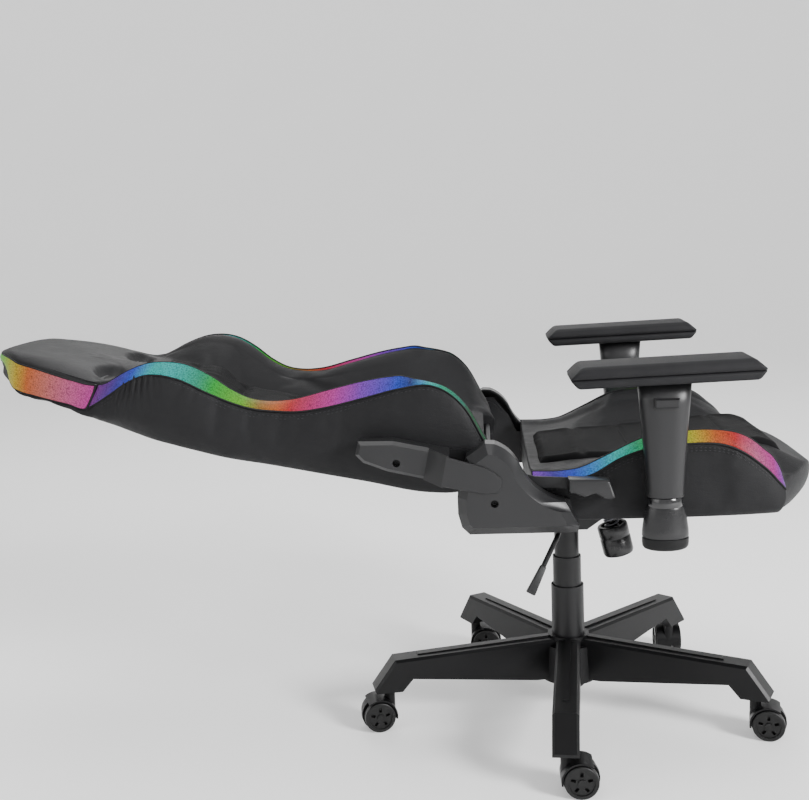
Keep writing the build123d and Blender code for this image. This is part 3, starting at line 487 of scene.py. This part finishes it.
def harness_recess(x, u):
    """Depth of the two openings for a harness."""
    away = ((np.abs(x) - RECESS_X) / RECESS_LONG) ** 2 + ((u - RECESS_U) / RECESS_HIGH) ** 2
    return RECESS_DEEP * np.clip(1.15 - away, 0, 1) ** 0.8


def bolster_fall(share):
    """Height share of a bolster between its strip, 0, and the middle panel, 1."""
    return (1 - share) ** 1.15 + 0.12 * np.sin(math.pi * share)


def rolled_edge(distance, height):
    """Padded roll just inside the strip's upper edge."""
    return height * np.sin(math.pi * np.clip(distance / ROLL_WIDTH, 0, 1)) ** 0.7


def back_front(x, u, edge_u):
    """Height of the front over the middle plane."""
    half = smooth(HALF, edge_u)
    inset = smooth(INSET, edge_u)
    from_side = half - np.abs(x)
    seam, top, panel = smooth(SEAM, u), smooth(CREST, u), smooth(PANEL, u)
    rise = seam + (top - seam) * np.clip(from_side / inset, 0, 1)
    panel_half = PANEL_HALF * np.minimum(half / 200, 1)
    share = np.clip((from_side - inset) / (half - inset - panel_half), 0, 1)
    fall = bolster_fall(share)
    head = ease(585, 625, u)
    round_fall = (1 - share) ** 2.2
    inner = panel + (top - panel) * (fall + (round_fall - fall) * head)
    inner = inner + rolled_edge(from_side - inset, ROLL_HEIGHT * (1 - head))
    return np.where(from_side < inset, rise, inner) - harness_recess(x, u)


def rows_to_u(q):
    """Rows of the grid lie closer together at the shoulders, where the cover is gathered."""
    return np.interp(q, ROWS_Q, ROWS_U)


def spread(away, half, stops, shares):
    """Places the columns of a grid: away runs from the middle, 0, to the side, 1."""
    x = np.zeros_like(half)
    for low, high, a, b in zip(stops, stops[1:], shares, shares[1:]):
        inside = (away >= low) & (away <= high)
        x = np.where(inside, a + (b - a) * (away - low) / (high - low), x)
    return x


def back_place(p, q, r):
    """Backrest cover: p across, q from the lower end to the head, r from rear to front."""
    edge_u = rows_to_u(q)
    middle_u = 10 + (HEAD_TIP - 10) * (edge_u - BACK_END) / (HEAD_SIDE - BACK_END)
    away = np.abs(p)
    half = smooth(HALF, edge_u)
    inset = smooth(INSET, edge_u)
    panel_half = PANEL_HALF * np.minimum(half / 205, 1)
    shares = (0 * half, panel_half, half - 52, half - inset - 22, half - inset, half)
    x_front = spread(away, half, (0, 0.5, 0.72, 0.86, 0.94, 1.0), shares)
    arch = 1 - np.clip(x_front / half, 0, 1) ** 2.0
    lower = ease(0.0, -1.0, q)
    arch = arch * (1 - lower) + (1 - ease(0.5, 0.66, away)) * lower
    u = edge_u + (middle_u - edge_u) * arch
    depth = (r + 1) / 2
    round_edge = 1 - (1 - np.clip(depth * 2.6, 0, 1)) ** 2
    x_rear = away * (half - 15)
    x = x_rear + (x_front - x_rear) * round_edge
    front = back_front(x_front, u, edge_u)
    rear = smooth(REAR, u) - 4 * (1 - away ** 2) * np.clip((q + 1) * 3, 0, 1)
    end = np.clip((np.abs(q) - 0.97) / 0.03, 0, 1) ** 2
    front = front - 3 * end
    rear = rear + 5 * end
    t = rear + (front - rear) * depth
    belly = np.sin(depth * math.pi) * (away > 0.999) * 3.0
    return back_row(np.sign(p) * (x + belly), u, t)


def back_cover():
    piece, unit = pad_block("back_upholstery", (55, 139, 9), back_place, "back", LEATHER)
    p, q, r = np.abs(unit[:, 0]), unit[:, 1], unit[:, 2]
    front = r > 0.99
    side_u = rows_to_u(q)
    held = np.zeros(len(unit))
    held[front & (p > 0.93)] = 1
    held[front & (np.abs(p - 0.5) < 0.02)] = 1
    held[r < -0.99] = 1
    held = np.maximum(held, ease(575, 625, side_u) * front)
    held[np.abs(q) > 0.985] = 1
    recess = (np.abs(side_u - RECESS_U) < 34) & (p > 0.1) & (p < 0.8)
    held[front & recess] = 1
    inflate(piece, held, 3.0, 5.0, -0.01)
    points = get_points(piece.data)
    # gathers that fan out below the shoulder seam, and smaller ones beside the lumbar wing
    down = (1 - (r + 1) / 2) * (smooth(SEAM, side_u) - smooth(REAR, side_u))
    edge = p > 0.99
    fan = (side_u - SHOULDER_U) * (1 - np.clip(down, 0, 60) / 160)
    shoulder = np.exp(-((side_u - SHOULDER_U) / 34) ** 2) * np.exp(-(down / 30) ** 2)
    lumbar = np.exp(-((side_u - LUMBAR_U) / 60) ** 2) * np.exp(-(down / 24) ** 2)
    folds = 1.7 * np.sin(fan * 2 * math.pi / 8.2) + 0.35 * np.sin(fan * 2 * math.pi / 19 + 1.0)
    soft_folds = np.sin(side_u * 2 * math.pi / 17 + down / 12)
    outwards = np.sign(unit[:, 0]) * edge
    points[:, 0] += outwards * (2.3 * shoulder * folds + 1.3 * lumbar * soft_folds + 3.0 * shoulder) * MM
    set_points(piece.data, points)
    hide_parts("back_cushion")
    soften(piece)


def strip_section(half, inset, seam, top, b, bulge):
    """Point across a strip, b from its lower edge, 0, to its upper edge, 1, lifted by bulge."""
    run = np.hypot(inset, top - seam)
    x = half - inset * b + bulge * (top - seam) / run
    level = seam + (top - seam) * b + bulge * inset / run
    return x, level


def back_strip_place(side, low_u, high_u, lift=0.8):
    def place(a, b):
        bow = JUNCTION_BOW * (1 - b) ** 1.5 * a ** 6
        u = low_u + (high_u - low_u) * a + bow
        bulge = np.sin(b * math.pi) * 1.4 + lift * (1 - b)
        section = [smooth(knots, u) for knots in (HALF, INSET, SEAM, CREST)]
        x, t = strip_section(*section, b, bulge)
        return back_row(side * x, u, t)
    return place


def head_line(s):
    """Outline of the head from the front: s runs from the junction seam, 0, to the tip's middle, 1."""
    straight = 0.62
    u_side = HEAD_START + (HEAD_SIDE - HEAD_START) * np.clip(s / straight, 0, 1)
    p = 1 - np.clip((s - straight) / (1 - straight), 0, 1)
    x = np.where(s < straight, smooth(HALF, u_side), p * smooth(HALF, HEAD_SIDE))
    u = np.where(s < straight, u_side, HEAD_SIDE + (HEAD_TIP - HEAD_SIDE) * (1 - p ** 2.0))
    return x, u


def head_edge(s, grow):
    """The same outline, moved outwards by grow."""
    x, u = head_line(s)
    step = 0.004
    x2, u2 = head_line(s + step)
    x1, u1 = head_line(s - step)
    run = np.maximum(np.hypot(x2 - x1, u2 - u1), 1e-6)
    return x + grow * (u2 - u1) / run, u - grow * (x2 - x1) / run


def head_strip_place(side, reach):
    def place(a, b):
        s = reach * a
        x, u = head_edge(s, 1.6 + np.sin(b * math.pi) * 1.6)
        u = u + JUNCTION_BOW * (1 - b) ** 1.5 * (1 - a) ** 8 + 1.5 * (1 - a) ** 20
        low, high = smooth(SEAM, u) + 1, smooth(CREST, u) - 1
        return back_row(side * x, u, low + (high - low) * b)
    return place


def seam_line(side, low_u, high_u, share, lift, count):
    """Points along the strip's lower edge (share 0) or upper edge (share 1)."""
    a = np.linspace(0, 1, count)
    return back_strip_place(side, low_u, high_u, lift)(a, np.full(count, float(share)))


BACK_HUES = [
    (0.000, DARK_GREEN), (0.055, DARK_GREEN), (0.075, DIM_TEAL), (0.125, TEAL), (0.165, CYAN),
    (0.185, SKY), (0.21, DARK_BLUE), (0.245, BLUE), (0.33, VIOLET), (0.40, MAGENTA), (0.50, RED),
    (0.535, ORANGE), (0.58, OLIVE), (0.62, LIME), (0.70, GREEN), (0.735, TEAL), (0.80, CYAN),
    (0.85, CYAN), (0.88, SKY), (0.905, BLUE), (0.945, INDIGO), (1.0, PURPLE),
]
HEAD_HUES = [
    (0.0, MAGENTA), (0.2, PINK), (0.40, SALMON), (0.55, ORANGE), (0.68, YELLOW), (0.80, LIME),
    (0.95, GREEN), (1.0, TEAL),
]


def back_lights():
    glow = glowing("back_glow", BACK_HUES)
    head_glow = glowing("head_glow", HEAD_HUES)
    for name, side in SIDES:
        place = back_strip_place(side, 12, 595)
        strip = light_ribbon(f"back_strip_{name}", (150, 6), place, "back", glow)
        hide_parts(f"back_light_{name}")
        light_ribbon(f"head_strip_{name}", (90, 8), head_strip_place(side, 0.93), "back", head_glow)
        for label, share in (("lower", 0.0), ("upper", 1.0)):
            line = seam_line(side, 4, 597, share, 0.6, 130)
            tube(f"back_piping_{label}_{name}", line, PIPING_RADIUS, "back", LEATHER)
        s = np.linspace(0, 1.0, 70)
        x, u = head_edge(s, 1.2)
        for label, knots in (("lower", SEAM), ("upper", CREST)):
            line = back_row(side * x, u, smooth(knots, u))
            tube(f"head_piping_{label}_{name}", line, PIPING_RADIUS, "back", LEATHER)
        x, u = head_edge(s, -10.0)
        level = smooth(CREST, u) + 0.30 * (smooth(PANEL, u) - smooth(CREST, u))
        tube(f"head_top_seam_{name}", back_row(side * x, u, level + 0.6), 0.8, "back", THREAD)
        drop = np.linspace(0, 1, 14)
        u = 598 + JUNCTION_BOW * drop ** 1.5
        joint = back_row(side * (smooth(HALF, u) + 2.8), u, 9 - 39 * drop)
        tube(f"junction_seam_{name}", joint, 1.8, "back", LEATHER)
        a = np.linspace(0, 1, 120)
        u = 14 + (590 - 14) * a
        half, seam = smooth(HALF, u), smooth(SEAM, u)
        out = np.tile([side, 0, 0], (120, 1))
        for row, below in enumerate((6.0, 10.5)):
            line = back_row(side * (half + 1.0), u, seam - below)
            stitching(f"side_stitches_{row + 1}_{name}", line, out, "back")


def stadium(long, high, count=12):
    """Outline of a slot with round ends."""
    turn = np.linspace(-math.pi / 2, math.pi / 2, count)
    right = np.stack([long - high + high * np.cos(turn), high * np.sin(turn)], axis=-1)
    return np.concatenate([right, -right])


def harness_eyelets():
    for name, side in SIDES:
        ring = stadium(36.0, 9.5)
        x, u = side * RECESS_X + ring[:, 0], RECESS_U + ring[:, 1]
        front, rear = smooth(PANEL, RECESS_U) - RECESS_DEEP + 3.0, smooth(REAR, RECESS_U) - 4.5
        for label, t in (("front", front), ("rear", rear)):
            points = back_row(x, u, t)
            tube(f"eyelet_{label}_{name}", points, 2.2, "back", COVER, closed=True)
            # near-black nylon plate that closes the opening in front and behind: painted shade where the real
            # harness slot is a dark hole through the backrest
            mesh = bmesh.new()
            plate = mesh.faces.new([mesh.verts.new(point) for point in points])
            out = back_row(0, 0, 1.0 if label == "front" else -1.0) - back_row(0, 0, 0)
            grown = bmesh.ops.extrude_face_region(mesh, geom=[plate])["geom"]
            corners = [part for part in grown if isinstance(part, bmesh.types.BMVert)]
            bmesh.ops.translate(mesh, verts=corners, vec=out)
            painted_shade_plate = finished(mesh, f"eyelet_painted_shade_{label}_{name}", "back", NYLON)


# ------------------------------------------------------------------ backrest middle panel
def quilting(p, q, end_share, thick, along, channels):
    """Height of a sewn panel over its base: round at its edges, pulled in at its channels."""
    edge = np.clip((1 - np.abs(p)) / 0.10, 0, 1) * np.clip((1 - np.abs(q)) / end_share, 0, 1)
    crown = np.sqrt(np.clip(edge * (2 - edge), 0, 1))
    groove = np.zeros_like(along)
    for channel in channels:
        groove = np.maximum(groove, np.exp(-((along - channel) / 4.0) ** 2))
    return thick * crown * (1 - 0.62 * groove)


def sewn_panel(name, cuts, place, body, along, channels):
    """Middle panel, swollen between its channels; along gives a place's distance for q."""
    piece, unit = pad_block(name, cuts, place, body, FABRIC)
    distance = along(unit[:, 1])
    held = (unit[:, 2] < 0).astype(float)
    held[np.abs(unit[:, 0]) > 0.95] = 1
    for channel in channels:
        held[np.abs(distance - channel) < 4] = 1
    inflate(piece, held, 4.0, 4.0, -0.02)
    soften(piece)


def back_inlay():
    channels = (130, 225, 320, 415, 500)
    low_u, high_u = 34, 560

    def along(q):
        return low_u + (high_u - low_u) * (q + 1) / 2

    def front(x, u):
        return back_front(x, u, np.clip(u, BACK_END, high_u))

    def place(p, q, r):
        u = along(q)
        x = p * INLAY_HALF
        height = quilting(p, q, 0.04, 9, u, channels)
        return back_row(x, u, front(x, u) - 2 + (height + 2) * (r + 1) / 2)

    sewn_panel("back_panel", (41, 89, 1), place, "back", along, channels)
    for index, channel in enumerate(channels):
        x = np.linspace(-1, 1, 60) * (INLAY_HALF - 5)
        u = np.full(60, float(channel))
        up = np.tile([0, -math.sin(LEAN), math.cos(LEAN)], (60, 1))
        stitching(f"back_channel_{index + 1}", back_row(x, u, front(x, u) + 4.2), up, "back")


# ------------------------------------------------------------------ seat
S_SEAM = [
    (-299, 418), (-294.3, 424.4), (-288, 431), (-276, 445), (-259, 460.4), (-240, 474.6),
    (-223, 483.8), (-204, 489.3), (-182, 491.2), (-165, 491.1), (-93, 483), (-61, 471), (-24, 450),
    (20, 441), (64, 440),
]
S_TOP = [
    (-299, 424.8), (-294, 442.6), (-284, 461.7), (-267, 478.5), (-250, 492.7), (-231, 502),
    (-214, 505.8), (-187, 508.3), (-166, 508), (-93, 497), (-56, 479.5), (-34, 469), (-3, 456),
    (20, 453), (64, 453),
]
S_PANEL = [
    (-388, 408), (-380, 420), (-366, 431), (-345, 440), (-325, 450), (-300, 462), (-250, 467),
    (-200, 463), (-100, 455), (0, 449), (64, 443),
]
S_BASE = [(-388, 392), (-375, 387), (-345, 383), (-300, 383), (-200, 381), (64, 380)]
S_HALF = [(-300, 219), (-285, 225), (-255, 229), (-200, 230), (64, 228)]
S_FRONT_EDGE, S_INSET = -300.0, 14.0
SEAT_PIPING_RADIUS = 1.5


def seat_top(x, y, edge_y):
    half = smooth(S_HALF, edge_y)
    from_side = half - np.abs(x)
    seam, panel = smooth(S_SEAM, edge_y), smooth(S_PANEL, y)
    top = smooth(S_TOP, np.where(from_side < S_INSET, edge_y, y))
    rise = seam + (top - seam) * np.sin(np.clip(from_side / S_INSET, 0, 1) * math.pi / 2) ** 0.8
    share = np.clip((from_side - S_INSET) / (half - S_INSET - PANEL_HALF), 0, 1)
    roll = rolled_edge(from_side - S_INSET, ROLL_HEIGHT)
    return np.where(from_side < S_INSET, rise, panel + (top - panel) * bolster_fall(share) + roll)


def seat_place(p, q, r):
    """Seat cover: p across, q from the rear to the nose, r from the underside to the top."""
    away = np.abs(p)
    edge_y = SEAT_REAR + (S_FRONT_EDGE - SEAT_REAR) * (q + 1) / 2
    middle_y = SEAT_REAR + (SEAT_NOSE + 7 - SEAT_REAR) * (q + 1) / 2
    half = smooth(S_HALF, edge_y)
    shares = (0 * half, 0 * half + PANEL_HALF, half - 60, half - 34, half - S_INSET, half)
    x_top = spread(away, half, (0, 0.5, 0.72, 0.86, 0.94, 1.0), shares)
    y = edge_y + (middle_y - edge_y) * (1 - np.clip(x_top / (half - S_INSET), 0, 1) ** 2.0)
    height = (r + 1) / 2
    tuck = 1 - (1 - np.clip(height * 4, 0, 1)) ** 2
    x_base = away * (half - 9)
    x = x_base + (x_top - x_base) * tuck
    top = seat_top(x_top, y, edge_y)
    base = smooth(S_BASE, y)
    z = base + (top - base) * height
    belly = np.sin(height * math.pi)
    front = np.clip((q - 0.999) * 1000, 0, 1)
    side = (away > 0.999) * 1.0
    y = y - front * belly * 5 + np.clip((q - 0.93) / 0.07, 0, 1) ** 2 * (1 - height) * 10
    return np.stack([np.sign(p) * (x + side * belly * 3) * MM, y * MM, z * MM], axis=-1)


def seat_cover():
    piece, unit = pad_block("seat_upholstery", (63, 59, 9), seat_place, "seat", LEATHER)
    p, q, r = np.abs(unit[:, 0]), unit[:, 1], unit[:, 2]
    held = np.zeros(len(unit))
    top = r > 0.99
    held[top & (p > 0.93)] = 1
    held[top & (np.abs(p - 0.5) < 0.02)] = 1
    held[r < -0.99] = 1
    held[q < -0.97] = 0.8
    held = np.maximum(held, ease(0.45, 0.75, q))
    inflate(piece, held, 3.0, 4.0, -0.01)
    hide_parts("seat_cushion")
    soften(piece)


def seat_inlay():
    channels = (-20, -95, -170, -245)
    low_y, high_y = 46.0, -318.0

    def along(q):
        return low_y + (high_y - low_y) * (q + 1) / 2

    def place(p, q, r):
        y = along(q)
        x = p * INLAY_HALF
        base = seat_top(x, y, np.clip(y, S_FRONT_EDGE, SEAT_REAR))
        height = quilting(p, q, 0.05, 8, y, channels)
        return np.stack([x * MM, y * MM, (base - 2 + (height + 2) * (r + 1) / 2) * MM], axis=-1)

    sewn_panel("seat_panel", (41, 63, 1), place, "seat", along, channels)
    for index, channel in enumerate(channels):
        x = np.linspace(5 - INLAY_HALF, INLAY_HALF - 5, 60)
        y = np.full(60, float(channel))
        line = np.stack([x * MM, y * MM, (seat_top(x, y, channel) + 3.8) * MM], axis=-1)
        stitching(f"seat_channel_{index + 1}", line, np.tile([0, 0, 1], (60, 1)), "seat")


def seat_strip_place(side, low_y, high_y):
    def place(a, b):
        y = low_y + (high_y - low_y) * a
        bulge = np.sin(b * math.pi) * 1.5 + 0.8
        x, z = strip_section(smooth(S_HALF, y), S_INSET, smooth(S_SEAM, y), smooth(S_TOP, y), b, bulge)
        return np.stack([side * x * MM, y * MM, z * MM], axis=-1)
    return place


SEAT_HUES = [
    (0.0, VIOLET), (0.08, INDIGO), (0.16, BLUE), (0.26, SKY), (0.33, CYAN), (0.40, TEAL),
    (0.48, GREEN), (0.56, LIME), (0.64, YELLOW), (0.72, ORANGE), (0.80, RED), (0.88, PINK),
    (0.95, MAGENTA), (1.0, VIOLET),
]


def seat_lights():
    glow = glowing("seat_glow", SEAT_HUES)
    for name, side in SIDES:
        strip = light_ribbon(f"seat_strip_{name}", (110, 6), seat_strip_place(side, 62, -298), "seat", glow)
        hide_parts(f"seat_light_{name}")
        a = np.linspace(0, 1, 90)
        for label, share in (("lower", 0.0), ("upper", 1.0)):
            line = seat_strip_place(side, 64, -299)(a, np.full(90, share))
            tube(f"seat_piping_{label}_{name}", line, SEAT_PIPING_RADIUS, "seat", LEATHER)
        y = 58 + (-296 - 58) * a
        out = np.tile([side, 0, 0], (90, 1))
        for row, drop in enumerate((6.0, 10.0)):
            x, z = side * (smooth(S_HALF, y) + 1.0), smooth(S_SEAM, y) - drop
            line = np.stack([x * MM, y * MM, z * MM], axis=-1)
            stitching(f"seat_stitches_{row + 1}_{name}", line, out, "seat")


# ------------------------------------------------------------------ armrests and knob
def softened_copy(node, name, body, material, width, segments):
    """Copy of a CAD part with its edges rounded by width millimetres."""
    mesh = bmesh.new()
    mesh.from_mesh(frame["nodes"][node].data)
    bmesh.ops.remove_doubles(mesh, verts=mesh.verts, dist=1e-6)
    bmesh.ops.dissolve_limit(mesh, angle_limit=math.radians(2), verts=mesh.verts, edges=mesh.edges)
    edges = [e for e in mesh.edges if len(e.link_faces) == 2 and e.calc_face_angle() > math.radians(18)]
    bmesh.ops.bevel(
        mesh, geom=edges, offset=width * MM, offset_type="OFFSET", affect="EDGES", segments=segments,
        profile=0.5, material=-1, clamp_overlap=True,
    )
    piece = finished(mesh, name, body, material)
    piece.data.set_sharp_from_angle(angle=math.radians(40))
    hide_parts(node)
    return piece


def spun(outline, steps):
    """Mesh of (radius, height) pairs spun about the upright axis."""
    mesh = bmesh.new()
    points = [mesh.verts.new((radius, 0, height)) for radius, height in outline]
    edges = [mesh.edges.new(pair) for pair in zip(points, points[1:])]
    bmesh.ops.spin(
        mesh, geom=points + edges, cent=(0, 0, 0), axis=(0, 0, 1), angle=math.tau, steps=steps,
        use_merge=True,
    )
    bmesh.ops.remove_doubles(mesh, verts=mesh.verts, dist=1e-5)
    return mesh


def turned(name, profile, place, body, material, squeeze=1.0):
    """Turned part, its profile in millimetres, squeezed across the chair."""
    mesh = spun([(radius * MM, height * MM) for radius, height in profile], 64)
    bmesh.ops.scale(mesh, verts=mesh.verts, vec=(squeeze, 1, 1))
    bmesh.ops.transform(mesh, matrix=place, verts=mesh.verts)
    piece = finished(mesh, name, body, material)
    piece.data.set_sharp_from_angle(angle=math.radians(40))
    return piece


def arm_column(name, side):
    """Sliding sleeve: soft-cornered tube that widens towards the pad, open at its lower end."""
    mesh = bmesh.new()
    rings = []
    for height, long in COLUMN_SECTIONS:
        ring = []
        for angle in np.linspace(0, math.tau, 72, endpoint=False):
            across, along = math.cos(angle), math.sin(angle)
            x = COLUMN_HALF * math.copysign(abs(across) ** COLUMN_CORNER, across)
            y = long * math.copysign(abs(along) ** COLUMN_CORNER, along)
            ring.append(mesh.verts.new(((side * ARM_X + x) * MM, (CUP_Y + y) * MM, height * MM)))
        rings.append([mesh.edges.new((a, b)) for a, b in zip(ring, ring[1:] + ring[:1])])
    for lower, upper in zip(rings, rings[1:]):
        bmesh.ops.bridge_loops(mesh, edges=lower + upper)
    piece = finished(mesh, f"arm_column_{name}", f"arm_{name}", POST)
    wall = piece.modifiers.new("wall", "SOLIDIFY")
    wall.thickness = 1.8 * MM
    wall.offset = -1
    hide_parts(f"arm_sleeve_{name}")


ARM_X, CUP_Y, CUP_FLOOR, POST_TOP = 262.0, -121.0, 348.0, 560.0
COLUMN_HALF, COLUMN_CORNER = 21.6, 0.72
COLUMN_SECTIONS = [(425, 25.2), (427, 25.6), (470, 28.2), (520, 31.8), (555, 34.8), (589, 37.6)]
CUP = [(0, 17), (31.5, 17), (33.0, 20), (32.6, 28), (30.5, 44), (28.2, 58), (27.2, 62), (25.6, 64), (0, 64)]
CUP_BAND = [(0, 0), (26, 0), (30, 1.6), (32.4, 5), (33.0, 10), (33.0, 16.4), (31.5, 17.2), (0, 17.2)]
NECK = [(0, 62), (24.4, 62), (25.2, 64), (25.2, 73), (24.0, 75.5), (0, 75.5)]


def armrests():
    for name, side in SIDES:
        arm, seat = f"arm_{name}", "seat"
        softened_copy(f"arm_pad_{name}", f"soft_arm_pad_{name}", arm, PAD, 7.5, 5)
        softened_copy(f"arm_plate_{name}", f"arm_tray_{name}", arm, PAD, 5.0, 4)
        arm_column(name, side)
        foot = Matrix.Translation((side * ARM_X * MM, CUP_Y * MM, CUP_FLOOR * MM))
        squeeze = 22.0 / 33.0
        neck_squeeze = 21.5 / 25.2
        cup = turned(f"arm_cup_{name}", CUP, foot, seat, GUNMETAL, squeeze)
        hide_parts(f"arm_post_{name}")
        turned(f"arm_cup_band_{name}", CUP_BAND, foot, seat, NYLON, squeeze)
        turned(f"arm_neck_{name}", NECK, foot, seat, GLOSS, neck_squeeze)
        inner_post(name, side)


def inner_post(name, side):
    """Rounded bar that the sleeve slides on."""
    tall = POST_TOP - CUP_FLOOR - 60
    middle = (side * ARM_X * MM, CUP_Y * MM, (POST_TOP - tall / 2) * MM)
    mesh = bmesh.new()
    bmesh.ops.create_cube(mesh, size=1.0)
    bmesh.ops.scale(mesh, verts=mesh.verts, vec=(22 * MM, 36 * MM, tall * MM))
    bmesh.ops.translate(mesh, verts=mesh.verts, vec=middle)
    bmesh.ops.bevel(
        mesh, geom=mesh.edges[:], offset=6 * MM, offset_type="OFFSET", affect="EDGES", segments=3,
        profile=0.5, material=-1,
    )
    finished(mesh, f"arm_inner_post_{name}", "seat", GLOSS)


KNOB_LEAN = Matrix.Rotation(math.radians(-12.7), 4, "X")
KNOB_PLACE = Matrix.Translation((0, -86.0 * MM, 264.0 * MM)) @ KNOB_LEAN
KNOB = [
    (0, 0), (19, 0), (23.2, 1.6), (24.8, 5), (25, 9), (25, 29.5), (24.2, 30.5), (24.2, 32.5),
    (25, 33.5), (25, 50), (23.5, 52), (18.5, 52), (18.5, 16), (4, 16), (4, 108), (0, 108),
]


def knob():
    grip = turned("spring_knob", KNOB, KNOB_PLACE, "tension_knob", GUNMETAL)
    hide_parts("tension_knob")


def grips():
    for lever in ("recline", "lift"):
        softened_copy(
            f"{lever}_lever_grip", f"{lever}_grip", f"{lever}_lever", COVER, 2.5, 3
        )


# ------------------------------------------------------------------ frame finishes
def paint(material, *names):
    for name in names:
        node = frame["nodes"][name]
        node.data.materials.clear()
        node.data.materials.append(material)


def both(name):
    return [f"{name}_left", f"{name}_right"]


def frame_finishes():
    paint(NYLON, "star_base", *[f"caster_hood_{k}" for k in range(1, 6)])
    paint(WHEEL, *[f"caster_wheels_{k}" for k in range(1, 6)])
    paint(COLUMN, "lower_column_cover", "middle_column_cover", "upper_column_cover")
    paint(COATED, "mechanism_housing", "seat_plate", "seat_frame", "back_frame", "lift_outer_tube")
    paint(COATED, "lift_lever", "recline_lever", *both("arm_bracket"))
    paint(COATED, *both("seat_hinge_plate"), *both("back_hinge_plate"))
    paint(STEEL, "caster_stems", "lift_piston_rod", "lift_inner_cylinder", "tilt_pin")
    paint(COATED, "recline_rod")
    paint(NYLON, "seat_cover_screws", "back_cover_screws")
    paint(SPRING, "tension_spring", "recliner_spring")
    paint(FABRIC, "seat_webbing")
    paint(COVER, *both("seat_hinge_cover"), *both("back_hinge_cover"))
    paint(COVER, *both("arm_trigger"))


# ------------------------------------------------------------------ stage
COVE_FLAT, COVE_BEND, COVE_TOP = 5, 3, 5


def stage():
    """Pale floor that curves up all round, open to the sky above."""
    scene = bpy.context.scene
    turn = np.linspace(0, math.pi / 2, 9)
    curve = [(COVE_FLAT + COVE_BEND * math.sin(a), COVE_BEND * (1 - math.cos(a))) for a in turn[1:]]
    mesh = spun([(0, 0), (COVE_FLAT, 0)] + curve + [(COVE_FLAT + COVE_BEND, COVE_TOP)], 72)
    data = bpy.data.meshes.new("cove")
    mesh.to_mesh(data)
    mesh.free()
    data.shade_smooth()
    cove = bpy.data.objects.new("cove", data)
    scene.collection.objects.link(cove)
    pale = Finish("pale_floor", Roughness=0.7, Emission_Strength=0.25, Emission_Color=(1, 1, 1, 1))
    pale.colour(pale.mix(pale.noise(pale.place(), 3.0), (0.82, 0.82, 0.82), (0.86, 0.86, 0.86)))
    data.materials.append(pale.material)

    world = bpy.data.worlds.new("studio")
    world.use_nodes = True
    world.node_tree.nodes["Background"].inputs[0].default_value = (1.0, 1.0, 1.0, 1.0)
    world.node_tree.nodes["Background"].inputs[1].default_value = 0.65
    scene.world = world

    def softbox(name, where, aim, size, power):
        light = bpy.data.lights.new(name, "AREA")
        light.energy = power
        light.size = size
        holder = bpy.data.objects.new(name, light)
        holder.location = where
        holder.rotation_euler = (Vector(aim) - Vector(where)).to_track_quat("-Z", "Y").to_euler()
        scene.collection.objects.link(holder)

    softbox("key", (-2.4, -2.6, 1.9), (0, 0, 0.4), 1.0, 260)
    softbox("fill", (-2.2, 2.8, 1.4), (0, 0.3, 0.4), 2.0, 22)
    softbox("top", (0.2, 0.3, 3.4), (0, 0.2, 0.4), 2.0, 45)
    softbox("rim", (2.6, 0.6, 2.6), (0, 0.2, 0.4), 1.6, 30)

    camera = bpy.data.cameras.new("camera")
    camera.lens = 53.35
    camera.sensor_width = 36.0
    holder = bpy.data.objects.new("camera", camera)
    right = Vector((0.05768, -0.99754, -0.03964))
    up = Vector((0.15716, -0.03014, 0.98710))
    back = Vector((-0.98588, -0.06317, 0.15504))
    turn = Matrix((right, up, back)).transposed().to_4x4()
    holder.matrix_world = Matrix.Translation((-1.9273, 0.1345, 0.8337)) @ turn
    scene.collection.objects.link(holder)
    scene.camera = holder


stage()
frame_finishes()
back_cover()
back_lights()
back_inlay()
seat_cover()
seat_inlay()
seat_lights()
harness_eyelets()
armrests()
knob()
grips()
